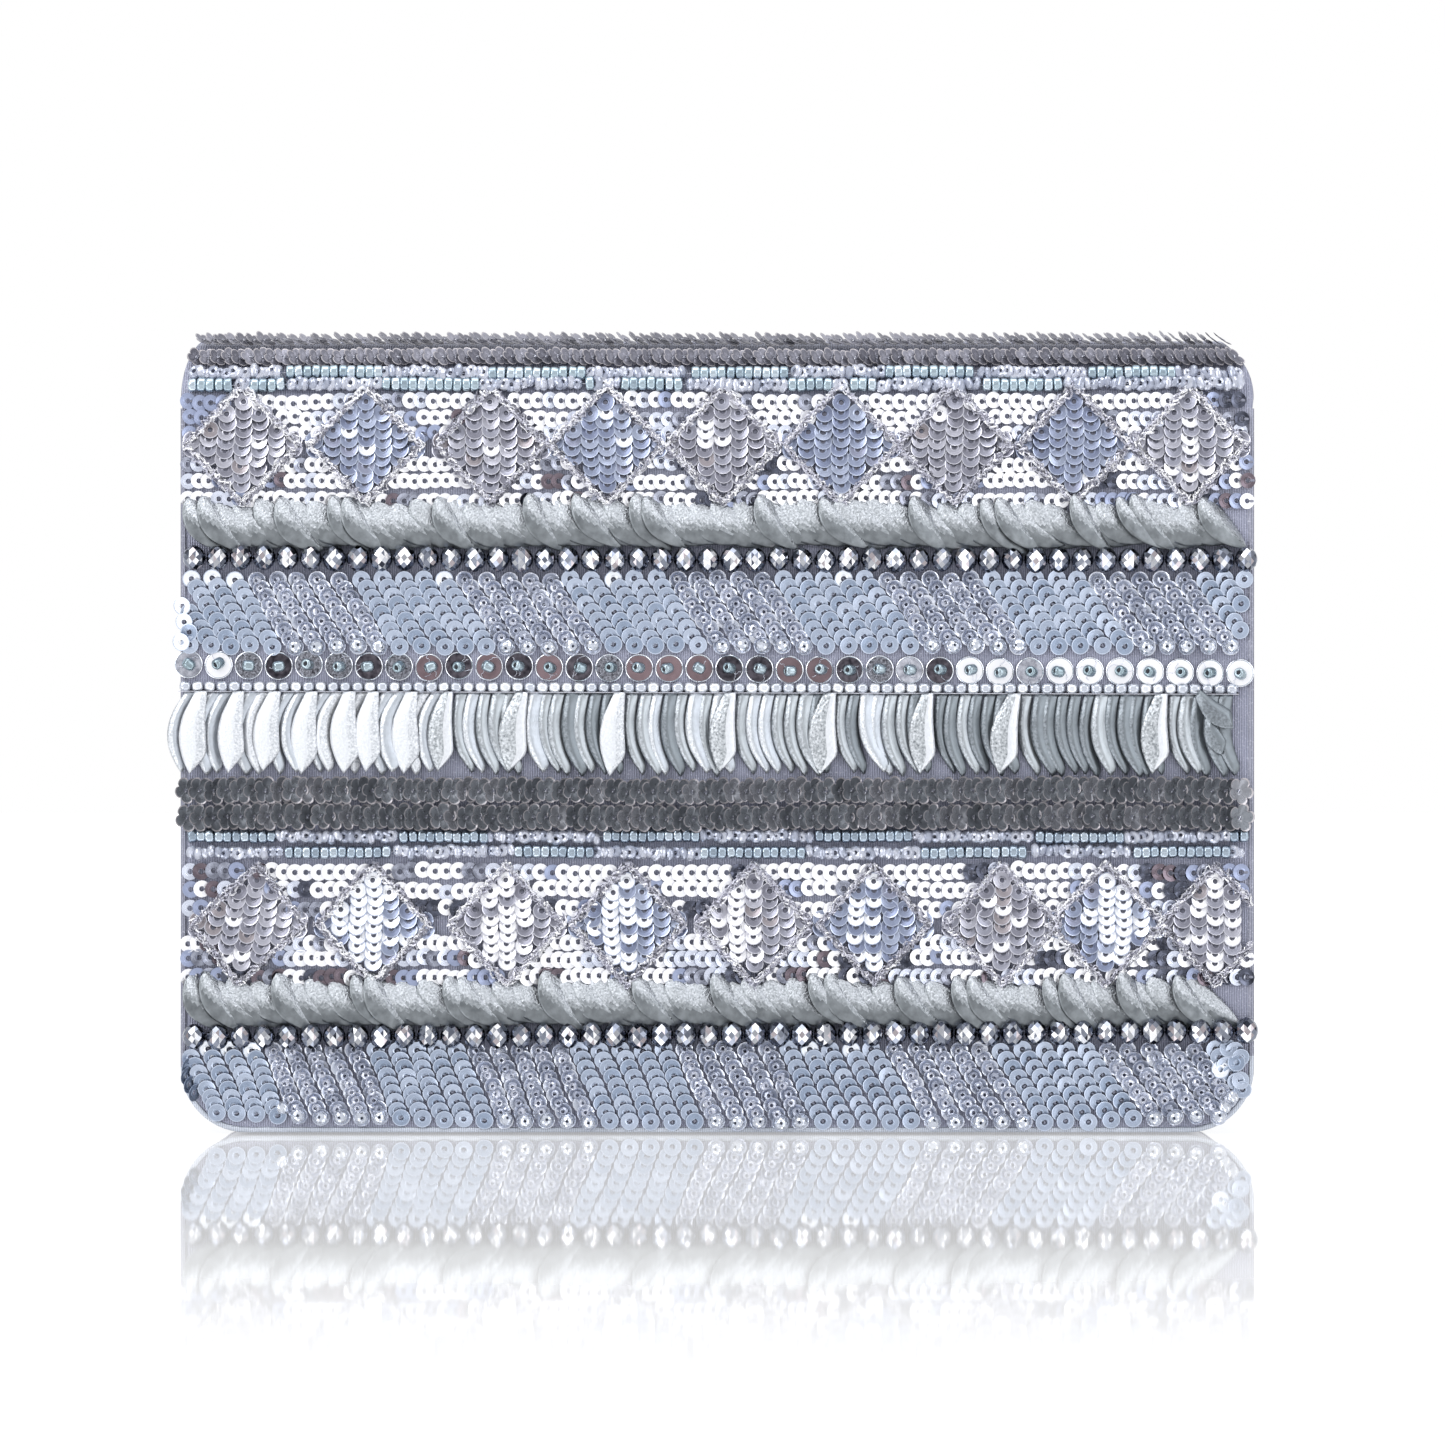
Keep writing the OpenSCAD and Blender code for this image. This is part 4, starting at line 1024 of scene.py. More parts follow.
try:
    C = [crease_angle(n) for n in ("flap_fold_rear", "flap_fold_top", "flap_fold_front")]
except Exception:
    C = [-45.0, -3.0, 39.0]
for pair, c in (((flap_cloth, flap_satin), 2), ((fold_cloth, fold_satin), 1), ((back_cloth, back_satin), 0)):
    a, b_ = (("fold_front", "flap"), ("fold_rear", "fold_front"), ("shell", "fold_rear"))[2 - c]
    for o in pair:
        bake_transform(o)
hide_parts("flap_cover", "flap_fold_foam")
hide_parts("flap_lining")
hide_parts("fold_front_cover", "fold_front_foam", "fold_rear_cover", "fold_rear_foam")
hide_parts("fold_front_lining", "fold_rear_lining")
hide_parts("back_cover", "back_fold_foam")
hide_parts("back_lining")
finish_piece(panel_cloth, "front_panel", ["front_cover"])
finish_piece(panel_satin, "front_panel", ["front_lining"])
finish_piece(base_cloth, "shell", ["base_cover"])
finish_piece(base_satin, "shell", ["base_lining"])
finish_piece(pocket, "shell", ["slip_pocket"])
finish_piece(hem_o, "flap", ["flap_hem"])

arc_len = math.radians(42) * R / 1000


# ---- sewn rows ----------------------------------------------------------------
def flower_row(name, spec_, body, node, mats):
    """spec_: (distance over the wrap, height, tilt up, lean, x0, x1, radius, pitch), all in degrees and millimetres."""
    b_ = Build()
    for s, h, up, lean, x0, x1, r, pitch, cup, notch in spec_:
        # the flowers' outer band takes the lighter rim material, a painted highlight
        T = t_disc(1.0, 0.13, cup, 0.05, 40, 5, 0.1, 0.0, notch, 4, 0.6)
        xs = np.arange(x0, x1 + 0.1, pitch)
        n = len(xs)
        M = turned("x", np.radians(up) + jit(n, 3)) @ turned("y", np.radians(lean) + jit(n, 3)) @ turned("z", rng.normal(0, 0.3, n))
        O = np.stack([xs + rng.normal(0, 0.1, n), s + wavy(xs, 0.22, s) + rng.normal(0, 0.1, n), np.full(n, h)], 1)
        b_.place(T, M, O, pick(n, [5, 3, 2]), np.full((n, 3), r) * rng.uniform(0.96, 1.05, (n, 1)))
        # the star of thread that holds each flower; its middle stitch takes the bright thread material, a painted
        # glint, the other two grey thread
        for k in range(3):
            ang = rng.uniform(-0.4, 0.4, n) + k * pi / 3
            b_.place(STITCH, M @ turned("z", ang), O + M @ np.array([0, 0, 0.1]), 5 if k == 1 else 3, np.tile([0.62, 0.7, 0.6], (n, 1)))
    return finish_piece(b_.mesh(name, mats + [GREY_THREAD, FLOWER_RIM_HIGHLIGHT, GLINT], skin, False), body, [node])


flower_row("fold_flower_row", [(arc_s(25), 1.5, -4, 27, -112.8, 113.4, 2.55, 2.45, 0.14, 0.3)], "fold_front", "flowers_fold", FLOWER_TOP)
flower_row("top_flower_row", [(arc_s(47), 1.2, -2, 23, -112.6, 112.8, 2.5, 2.45, 0.14, 0.3)], "flap", "flowers_top", FLOWER_TOP)
flower_row(
    "mid_flower_rows",
    [(pz(790.5), 1.5, -4, 26, -113.6, 112.6, 3.0, 2.85, 0.42, 0.3), (pz(817), 1.5, -4, 26, -113.4, 112.2, 3.0, 2.85, 0.42, 0.3)],
    "flap", "flowers_mid", FLOWER,
)

TOP_CX = [243, 366, 491, 607, 723, 841, 954, 1074, 1189]
RUNS_TOP = [
    (arc_s(62), [(288, 383), (487, 582), (688, 785), (880, 978), (1083, 1176)]),
    (arc_s(71), [(191, 287), (385, 480), (586, 681), (783, 880), (983, 1063), (1193, 1208)]),
]
RUNS_LOW = [
    (pz(836), [(184, 277), (396, 490), (605, 702), (815, 911), (1032, 1124), (1229, 1252)]),
    (pz(852), [(282, 391), (510, 598), (702, 808), (919, 1030), (1129, 1230)]),
]
T_SEED = t_bead(1.42, 1.86, 0.4, 16, 6.0, 9, 0.2)
T_ROUND = t_bead(1.6, 1.8, 0.5, 12, 2.6, 6, 0.38)
T_GEM = t_facet(1.42, 2.1, 8)


def seed_rows(tag, runs):
    metal, clear = Build(), Build()
    for s, spans in runs:
        xs = np.arange(-112.4, 112.9, 1.89)
        on = np.zeros(len(xs), bool)
        for a_, c_ in spans:
            on |= (xs > px(a_) + 0.4) & (xs < px(c_) - 0.2)
        if tag == "top" and s < arc_s(66):  # the diamonds' tips come up between these
            on &= np.min(np.abs(xs[:, None] - px(TOP_CX)[None]), 1) > 2.4
        sw = s + wavy(xs, 0.22, s)
        x = xs[on]
        n = len(x)
        M = turned("z", jit(n, 4)) @ turned("y", jit(n, 4)) @ turned("x", rng.uniform(0, 2 * pi, n))
        O = np.stack([x + rng.normal(0, 0.03, n), sw[on] + rng.normal(0, 0.07, n), np.full(n, 1.38)], 1)
        metal.place(T_SEED, M, O, pick(n, [4, 2, 2]), np.ones((n, 3)) * rng.uniform(0.95, 1.03, (n, 1)))
        # the clear ones lie tumbled, some with the hole to the front, two to each step of three
        cx_ = np.arange(-112.4, 112.8, 1.42)
        x = cx_[~np.array([np.min(np.abs(c - xs[on])) < 1.45 if on.any() else False for c in cx_])]
        n = len(x)
        face = rng.uniform(0, 1, n) < 0.6
        M = turned("z", jit(n, 16)) @ turned("y", np.where(face, np.radians(rng.normal(68, 14, n)), jit(n, 14))) @ turned("x", rng.uniform(0, 2 * pi, n))
        O = np.stack([x + rng.normal(0, 0.12, n), s + wavy(x, 0.22, s) + rng.normal(0, 0.22, n), 1.3 + 0.25 * (np.arange(n) % 2)], 1)
        S_ = np.ones((n, 3)) * rng.uniform(0.84, 1.0, (n, 1))
        gem = rng.uniform(0, 1, n) < 0.35
        clear.place(T_ROUND, M[~gem], O[~gem], pick((~gem).sum(), [3, 2]), S_[~gem])
        clear.place(T_GEM, M[gem], O[gem], pick(gem.sum(), [3, 2]), S_[gem])
        tube(metal, [(x, s + wavy(x, 0.22, s), 1.25) for x in np.linspace(-112.8, 112.8, 90)], 0.1, 5, 3)
    finish_piece(metal.mesh(f"seed_bead_rows_{tag}", (SEED if tag == "top" else SEED_LOW) + [THREAD]), "flap", [f"seed_beads_{tag}"])
    finish_piece(clear.mesh(f"clear_bead_rows_{tag}", CLEAR, skin, False), "flap", [f"clear_beads_{tag}"])


seed_rows("top", RUNS_TOP)
seed_rows("low", RUNS_LOW)

# the outer bands of T_SEQ and T_BLUE take the warm, lavender or blue rim material, a painted highlight
T_SEQ = t_disc(1.95, 0.56, 0.2, 0.09, 16, 0, 0.0, 0.08, 0.2, 5)
T_MIR = t_disc(1.7, 0.55, 0.14, 0.08, 16, 0, 0.0, 0.05)
KNOT = np.array([[0.4, 1.5, 1.5]])  # the thread seen in a sequin's hole
SLOT_THREAD_AND_SHADE = np.array([[0.62, 1.7, 1.0]])  # the thread that runs on to the next one, grey, with the shade beside it painted in
T_BLUE = t_disc(1.95, 0.6, 0.16, 0.09, 16, 0, 0.0, 0.07, 0.2, 4)
SH = 0.35  # how high a band's first sequin stands


def diamond_band(tag, cx, zc, h, low_band):
    warm, lav, mirror, cord = Build(), Build(), Build(), Build()
    w = 24.4
    cx = px(cx)
    lim = HW - 0.4
    for i, c in enumerate(cx):
        skew = 0.17 if low_band and i == 0 else 0.0
        b_ = warm if i % 2 == 0 else lav
        cols = np.arange(-3, 4) * 3.68
        # painted glare: near a random place across each diamond some sequins take the white material as a reflection of
        # the lamps, fewer towards the tip and foot, many more in the lower band
        painted_glare_odds = rng.uniform(0.2, 0.6) if low_band else 0.07
        if low_band and i == 0:
            painted_glare_odds = 0.1
        glare = rng.uniform(-5, 5)
        for x0 in cols:
            ax = abs(x0) / (w / 2)
            top = (0.72 if x0 == 0 else 0.84 - ax) * h / 2
            foot = (0.74 if x0 == 0 else 0.9 - ax) * h / 2
            if abs(x0) > 10:
                top, foot = 0.9, 2.4
            z = np.arange(top, -foot - 0.2, -1.95) + rng.uniform(-0.25, 0.25)
            z = z[::-1]  # the upper ones are laid last
            n = len(z)
            x = x0 * (1 - 0.010 * np.abs(z)) + rng.normal(0, 0.14, n) + 0.2 * np.sin(z / 4 + i) + skew * z
            ok = np.abs(c + x) < lim - 1.3
            x, z = x[ok], z[ok]
            n = len(z)
            if not n:
                continue
            M = turned("x", -np.radians(12.5) + jit(n, 3)) @ turned("y", jit(n, 5) + np.radians(-1.2 * x0))
            O = np.stack([c + x, zc + z, SH + 0.62 + rng.uniform(0, 0.1, n)], 1)
            mi = pick(n, [5, 4, 2, 0.9 if b_ is warm else 0.8, 0.0])
            bright = rng.uniform(0, 1, n) < painted_glare_odds * np.exp(-(((x - glare) / 5) ** 2)) * 2.0 * (1 - 0.25 * np.abs(z) / (h / 2))
            mi[bright] = 4
            b_.place(T_SEQ, M, O, mi)
            # the thread in each sequin's hole, in the dark material: thread and painted shade in the hole
            b_.place(STITCH, M @ turned("z", jit(n, 20)), O + M @ np.array([0, -0.12, 0.03]), 6, np.tile([0.52, 2.6, 0.5], (n, 1)))
        # crumpled thread round the diamond
        corners = np.array([[0, h / 2], [w / 2, 0], [0, -h / 2], [-w / 2, 0], [0, h / 2]])
        for strand in range(9):
            pts = []
            for (ax, az), (bx, bz) in zip(corners[:-1], corners[1:]):
                L_ = math.hypot(bx - ax, bz - az)
                n = int(L_ / 0.34)
                for k in range(n):
                    f = (k + rng.uniform(-0.3, 0.3)) / n
                    pts.append([ax + (bx - ax) * f, az + (bz - az) * f])
            p = np.array(pts) * (0.985 + rng.uniform(-0.05, 0.05))
            n = len(p)
            g1, g2, g3 = (np.convolve(rng.normal(0, 1, n + 4), np.ones(2) / 1.4, "same")[:n] for _ in range(3))
            core = strand < 2
            amp = 0.2 if core else 0.36
            P = np.stack([c + p[:, 0] + skew * p[:, 1] + amp * g1, zc + p[:, 1] + amp * g2, (1.15 if core else 1.65) + 0.4 * g3.clip(-1.3, 1.4)], 1)
            keep = np.abs(P[:, 0]) < lim
            run = []
            mat_i = int(pick(1, [3, 2, 0] if core else [5, 1.5, 4])[0])
            for k in range(n):
                if keep[k]:
                    run.append(P[k])
                if (not keep[k] or k == n - 1) and len(run) > 6:
                    tube(cord, run, 0.34 if core else 0.17 + 0.05 * rng.uniform(), 4, mat_i)
                if not keep[k]:
                    run = []
    # mirror sequins behind the diamonds
    for row, dz in enumerate((11.2, 7.5, 3.3, -3.9, -7.3, -11.2) if low_band else (9.3, 5.7, 2.6, -4.0, -7.8, -11.7)):
        pitch = 2.5 if row < 3 else 2.2
        xs = np.arange(-HW + 1.9, HW - 1.2, pitch) + rng.uniform(-0.3, 0.3)
        gap = np.min(np.abs(xs[:, None] - cx[None, :]) / (w / 2) + abs(dz) / (h / 2), 1)
        keep = gap > 0.97
        xs, gap = xs[keep], gap[keep]
        n = len(xs)
        xs = xs + rng.normal(0, 0.1, n)
        M = turned("y", np.radians(12) + jit(n, 3)) @ turned("x", jit(n, 4))
        O = np.stack([xs, zc + dz + wavy(xs, 0.35, dz) + rng.normal(0, 0.14, n), SH + 0.42 + rng.uniform(0, 0.08, n)], 1)
        # painted reflections: most are white, patches are painted dark, and those beside a diamond are painted in its
        # colour as its reflection
        if not low_band:
            odds = ([70, 14, 5, 4, 0.5, 6], [76, 12, 4, 3, 0.5, 5], [70, 13, 5, 4, 1, 7], [78, 10, 4, 2, 2, 4], [74, 10, 5, 3, 4, 4], [66, 12, 7, 5, 6, 4])[row]
        else:
            odds = ([80, 10, 4, 2, 1, 3], [74, 10, 5, 3, 2, 6], [66, 10, 6, 5, 3, 10], [62, 10, 8, 6, 5, 9], [58, 12, 8, 7, 7, 8], [52, 12, 9, 8, 9, 10])[row]
        mi = pick(n, odds)
        near = gap < 1.13
        mi = np.where(near & (rng.uniform(0, 1, n) < 0.22), pick(n, [1, 3, 3, 2, 0.5, 7]), mi)
        for k in range(1, n):  # neighbours share a painted reflection
            if rng.uniform() < 0.3:
                mi[k] = mi[k - 1]
        # painted shade: towards both ends of the rows the sequins take darker and lavender painted reflections
        if low_band:
            mi = np.where(xs < -94, pick(n, [2, 2, 4, 3, 5, 3]), mi)
            mi = np.where(xs > 92, pick(n, [3, 2, 3, 4, 1, 3]), mi)
        else:
            mi = np.where((xs < -104) & (row < 3), 5, mi)
            mi = np.where(xs > 103, pick(n, [2, 1, 3, 5, 1, 2]), mi)
        mirror.place(T_MIR, M, O, mi, np.tile([1.08, 1.08, 1.0] if low_band else [1.0, 1.0, 1.0], (n, 1)))
        # the grey slot from each hole: thread, and the shade beside it painted grey
        mirror.place(STITCH, M, O + M @ np.array([1.0, 0, 0.1]), 6, np.repeat(SLOT_THREAD_AND_SHADE, n, 0))
    node = "top" if not low_band else "low"
    finish_piece(warm.mesh(f"warm_diamond_sequins_{node}", WARM + [HOLE_THREAD_AND_SHADE], skin, False), "flap", [f"diamonds_warm_{node}"])
    finish_piece(lav.mesh(f"lavender_diamond_sequins_{node}", LAV + [HOLE_THREAD_AND_SHADE], skin, False), "flap", [f"diamonds_blue_{node}"])
    finish_piece(mirror.mesh(f"mirror_sequin_rows_{node}", MIRROR + [GREY_THREAD], skin, False), "flap", [f"mirror_sequins_{node}"])
    finish_piece(cord.mesh(f"diamond_thread_{node}", CORD, skin, False), "flap", [f"diamond_cord_{node}"])


diamond_band("top", TOP_CX, pz(445), 25.4, False)
diamond_band("low", [249, 374, 507, 628, 754, 874, 1002, 1106, 1215], pz(924), 26.0, True)


def laid_leaves(tag, z, height, node, flatter):
    T = t_leaf(1.0, 0.47, 0.07, 0.02, 0.012)
    b_ = Build()
    L_ = height / math.cos(math.radians(45)) * 1.08
    xs, groups = [], []
    x = -HW + 6.0
    while x < HW - 6.2:
        # a leaf that stands up on its left edge, then a run that lies flatter
        run = int(rng.integers(1, 3)), int(rng.integers(2, 5) if flatter else rng.integers(2, 6))
        for k in range(sum(run)):
            if x > HW - 6.2:
                break
            xs.append(x)
            groups.append(k < run[0])
            x += rng.uniform(2.8, 3.6) if k < run[0] else rng.uniform(3.4, 4.5) * (1.12 if flatter else 1.0)
    xs, group = np.array(xs), np.array(groups)
    n = len(xs)
    spin = np.radians(np.where(group, 38, 54)) + jit(n, 3)
    # the tip goes down to the right: +y turned by 180 + spin
    M = turned("z", pi + spin) @ turned("y", np.radians(np.where(group, -30, -9)) + jit(n, 3)) @ turned("x", jit(n, 2))
    O = np.stack([xs, z + wavy(xs, 0.35, 2.0) + rng.normal(0, 0.15, n), np.where(group, 1.3, 0.95) + 0.08 * (np.arange(n) % 3)], 1)
    b_.place(T, M, O, 0, np.stack([np.full(n, L_ * 0.98) * rng.uniform(0.94, 1.08, n), L_ * rng.uniform(0.95, 1.05, n), np.full(n, L_)], 1))
    # the pinholes near each leaf's ends, dark stitches that paint the shade in the holes
    for end in (-0.36, 0.34):
        tip = O + (M @ np.array([0.03, end, 0.035])) * L_
        b_.place(STITCH, turned("z", spin), tip, 3, np.tile([0.28, 1.1, 1.1], (n, 1)))
    return finish_piece(b_.mesh(f"laid_leaves_{tag}", LEAF + [PAINTED_SHADE], skin, True), "flap", [node])


laid_leaves("top", pz(523), 9.9, "leaf_row_top", False)
laid_leaves("low", pz(1001), 9.8, "leaf_row_low", True)


def facets(tag, y0, y1, node):
    T = t_facet(2.82, 4.86, 10)
    b_ = Build()
    n = 46
    xs = np.linspace(px(195.5), px(1245), n)
    zs = pz(np.interp(xs, [xs[0], 0, xs[-1]], [y0, (y0 + y1) / 2 + 1, y1]))
    M = turned("z", jit(n, 3)) @ turned("y", jit(n, 5)) @ turned("x", rng.uniform(0, 2 * pi, n))
    S_ = np.ones((n, 3)) * rng.uniform(0.94, 1.03, (n, 1))
    b_.place(T, M, np.stack([xs, zs + rng.normal(0, 0.08, n), np.full(n, 2.7)], 1), 0, S_)
    # painted reflections: facets that look forwards take the light materials as the bright side of the room, the others
    # the dark ones as its dark side
    V = b_.v[0]
    for k, F in enumerate(b_.f):
        if not len(F):
            continue
        nrm = np.cross(V[F[:, 1]] - V[F[:, 0]], V[F[:, 2]] - V[F[:, 0]])
        nrm /= np.linalg.norm(nrm, axis=1)[:, None] + 1e-9
        front = np.abs(nrm[:, 2])
        painted_shade_mats = pick(len(F), [4, 4, 0.8, 0, 1.6, 0.6])
        painted_highlight_mats = pick(len(F), [2.4, 0.8, 3, 3.4, 0.2, 1.4])
        b_.m[k] = np.where(front > 0.84, painted_highlight_mats, np.where(front > 0.6, pick(len(F), [5, 2, 3, 0.8, 0.6, 1.0]), painted_shade_mats))
    # the thread between the beads takes the deep facet material, painted shade
    tube(b_, [(x, float(np.interp(x, xs, zs)), 2.45) for x in np.linspace(xs[0] - 2, xs[-1] + 2, 100)], 0.2, 5, 4)
    return finish_piece(b_.mesh(f"faceted_bead_row_{tag}", FACET, skin, False), "flap", [node])


facets("top", 558, 560, "faceted_beads_top")
facets("low", 1036, 1030, "faceted_beads_low")

# the clear sequins' outer band takes the third, paler clear material, a painted highlight
T_CLR = t_disc(1.9, 0.6, 0.42, 0.1, 14, 0, 0.0, 0.14, 0.2, 2)
T_MINI = t_bead(1.0, 1.15, 0.4, 8, 2.2, 5, 0.42)
T_XTAL = t_facet(1.55, 2.7, 8)


def stripes(tag, ztop, zbot, lean, first, n_items, nodes):
    blue, clear = Build(), Build()
    lim = HW - 0.6
    for i in range(-14, 48):
        k = (i + 100) % 10
        x0 = float(np.interp(i, *first)) if -20 < i < 50 else 999.0
        dx = float(np.interp(x0, *lean))
        f = (np.arange(n_items) + rng.uniform(-0.1, 0.1)) / (n_items - 1)
        x = x0 + dx * f + 0.25 * np.sin(f * 5 + i) + rng.normal(0, 0.07, n_items)
        drop = float(np.interp(x0, [-115, -60, 0, 60, 90, 115], [-1.4, 0.0, 0.7, 0.4, -0.6, -1.2])) if tag == "low" else 0.0
        z = ztop - 2.0 - (ztop - zbot - 4.0 + drop) * f + rng.normal(0, 0.08, n_items) + wavy(x, 0.2, 1.0)
        if tag == "low":  # the corners cut the last ones off
            r_, cxx = CR - 1.6, HW - CR
            bad = (np.abs(x) > cxx) & (z < Z0 + CR) & ((np.abs(x) - cxx) ** 2 + (z - Z0 - CR) ** 2 > r_**2)
        else:
            bad = np.zeros(n_items, bool)
        ok = (np.abs(x) < lim - 1.3) & ~bad
        x, z = x[ok], z[ok]
        idx = np.arange(n_items)[ok]
        n = len(x)
        if not n:
            continue
        al = math.atan2(dx, ztop - zbot)
        if k < 5:
            M = turned("z", np.full(n, al)) @ turned("x", np.radians(13) + jit(n, 2.5)) @ turned("y", jit(n, 3))
            mi = pick(n, [5, 3, 1.6, 0.0])
            # painted glare: each column's top sequin takes the white material, most of them at the far left, and
            # otherwise the pale one, a painted highlight
            mi[(idx == 0) & (rng.uniform(0, 1, n) < (0.8 if x0 < -95 else 0.12))] = 3
            mi[(idx == 0) & (mi != 3)] = 2
            if x0 < -104 and tag == "top":
                mi[idx < 1] = 3
            O = np.stack([x, z, np.full(n, SH + 0.55)], 1)
            blue.place(T_BLUE, M, O, mi)
            blue.place(STITCH, M @ turned("z", rng.uniform(0, pi, n)), O, 5, np.repeat(KNOT, n, 0))
        else:
            M = turned("z", np.full(n, al)) @ turned("x", np.radians(13) + jit(n, 6)) @ turned("y", jit(n, 7))
            clear.place(T_CLR, M, np.stack([x, z, np.full(n, SH + 0.4)], 1), pick(n, [4, 3, 0.6]))
            lastish = idx == n_items - 1
            Mb = turned("z", np.full(n, al) + jit(n, 30)) @ turned("y", pi / 2 + jit(n, 22)) @ turned("x", rng.uniform(0, 6, n))
            Ob = np.stack([x + rng.normal(0, 0.12, n), z + rng.normal(0, 0.12, n), np.full(n, SH + 1.05)], 1)
            clear.place(T_MINI, Mb[~lastish], Ob[~lastish], 3 + pick((~lastish).sum(), [3, 1.5]))
            clear.place(T_XTAL, Mb[lastish], Ob[lastish] + [0, 0, 0.3], 5)
    if tag == "low":  # loose ones in the bottom corners
        for x, y in ((188, 1066), (187, 1075), (190, 1084), (195, 1092)):
            blue.place(T_BLUE, turned("y", np.radians(58)) @ turned("x", 0.2), [[px(x), pz(y), 1.4]], 1)
        for x, y, mm in ((1220, 1069, 3), (1236, 1062, 1), (1228, 1048, 0), (1240, 1080, 2)):
            blue.place(T_BLUE, turned("z", 1.0) @ turned("y", 0.15), [[px(x), pz(y), 1.2]], mm)
        clear.place(T_XTAL, turned("z", 0.4), [[px(283), pz(1107), 1.7], [px(1232), pz(1096), 1.6], [px(1224), pz(1106), 1.6]], 5)
    else:  # a few stand out past the left edge, most of them in the white material, a painted glare
        for x, y, mm in ((183, 606, 3), (185, 622, 3), (182, 642, 3), (190, 632, 1)):
            blue.place(T_BLUE, turned("y", np.radians(-16)) @ turned("x", 0.2), [[px(x), pz(y), 1.3]], mm)
    finish_piece(blue.mesh(f"stripe_sequin_columns_{tag}", BLUE + [GREY_THREAD], skin, False), "flap", [nodes[0]])
    xtal = shader(f"crystal_bead_{tag}", lin(204, 209, 220), 0.6, 0.05, 0.05, 600, 0.03, trans=0.3, ior=1.65, spec=0.9)
    finish_piece(clear.mesh(f"stripe_clear_columns_{tag}", CLEAR_SEQ + CLEAR + [xtal], skin, False), "flap", [nodes[1]])


AT = np.arange(-20, 51, 10)
stripes("top", pz(570), pz(655), ([-115, 115], [8.2, 10.5]), (AT, px(361.0 + 21.05 * AT)), 9, ("stripe_sequins_top", "stripe_beads_top"))
stripes(
    "low", pz(1040), pz(1128), ([-115, -60, -20, 25, 75, 115], [5.8, 5.7, 6.4, 8.0, 9.9, 10.3]),
    (AT, px([-40, 169, 376, 580, 787.6, 1001, 1213.5, 1424])), 9, ("stripe_sequins_low", "stripe_beads_low"),
)

# the row of large discs, each held by a bead
b_, c_ = Build(), Build()
n = 36
xs = np.linspace(px(189), px(1240), n)
zs = pz(664.5 + (xs - xs[0]) / (xs[-1] - xs[0]) * 8.0) + rng.normal(0, 0.1, n)
kinds = [4, 0, 3, 1, 3, 3, 1, 3, 2, 1, 2, 1, 2, 1, 3, 2, 2, 2, 1, 1, 2, 2, 1, 3, 4, 1, 0, 0, 4, 0, 0, 0, 0, 0, 0, 0]
kinds = np.array(kinds)
a = np.arange(28) * 2 * pi / 28
rings = [(0.5, 0.1), (1.5, 0.06), (2.72, 0.06), (2.86, 0.16), (2.98, 0.1), (2.98, -0.06), (0.5, -0.05)]
Vd, Fd = lathe([np.stack([r_ * np.cos(a), r_ * np.sin(a), np.full(28, h_)], 1) for r_, h_ in rings], 28, True)
q_ = Fd[0][0]
ringno = np.arange(len(q_)) // 28
# the outer band of every disc takes the pale rim material, a painted highlight
T_DISC = (Vd, [(q_[(ringno < 2) | (ringno > 4)], 0)])
T_RIM_HIGHLIGHT = (Vd, [(q_[(ringno >= 2) & (ringno <= 4)], 0)])
M = turned("x", jit(n, 3)) @ turned("y", jit(n, 4)) @ turned("z", rng.uniform(0, 6, n))
O = np.stack([xs, zs, np.full(n, 0.55)], 1)
v_all = np.einsum("nij,kj->nki", np.broadcast_to(M, (n, 3, 3)), Vd) + O[:, None]
off = (np.arange(n) * len(Vd))[:, None, None]
b_.v.append(v_all.reshape(-1, 3))
face, rim_ = T_DISC[1][0][0], T_RIM_HIGHLIGHT[1][0][0]
b_.f += [(face[None] + off).reshape(-1, 4), (rim_[None] + off).reshape(-1, 4)]
b_.m += [np.repeat(kinds, len(face)), np.full(n * len(rim_), 5)]
b_.n = n * len(Vd)
# loose wisps of the thread that was drawn through them
for x, z_ in zip(xs, zs):
    for _ in range(int(rng.integers(1, 4))):
        t0 = rng.uniform(0, 2 * pi)
        r0 = np.linspace(1.2, rng.uniform(2.0, 3.1), 7)
        t1 = t0 + rng.normal(0, 0.10, 7).cumsum() + np.linspace(0, rng.uniform(-0.8, 0.8), 7)
        tube(b_, np.stack([x + r0 * np.cos(t1), z_ + r0 * np.sin(t1), 0.85 + 0.25 * rng.uniform(0, 1, 7)], 1), 0.06, 4, 6)
finish_piece(b_.mesh("large_disc_row", DISC + [GLINT], skin, False), "flap", ["disc_sequins"])
T_DB = t_bead(1.2, 2.5, 0.42, 14, 5.0, 8, 0.34)
M = turned("z", np.radians(rng.normal(-12, 18, n))) @ turned("y", np.radians(rng.uniform(14, 62, n))) @ turned("x", jit(n, 40))
Ob = np.stack([xs + rng.normal(0, 0.2, n), zs + rng.normal(0, 0.15, n), np.full(n, 1.5)], 1)
c_.place(T_DB, M, Ob, pick(n, [1, 1]))
# a dark core in each bead's hole, painted shade
c_.place(
    lathe([np.stack([np.full(7, h_), r_ * np.cos(a[::4]), r_ * np.sin(a[::4])], 1) for r_, h_ in [(0.01, -1.06), (0.4, -1.06), (0.4, 1.06), (0.01, 1.06)]], 7, True),
    M, Ob, 2,
)
finish_piece(c_.mesh("disc_bead_row", DISC_BEAD + [PAINTED_SHADE], skin, True), "flap", ["disc_beads"])

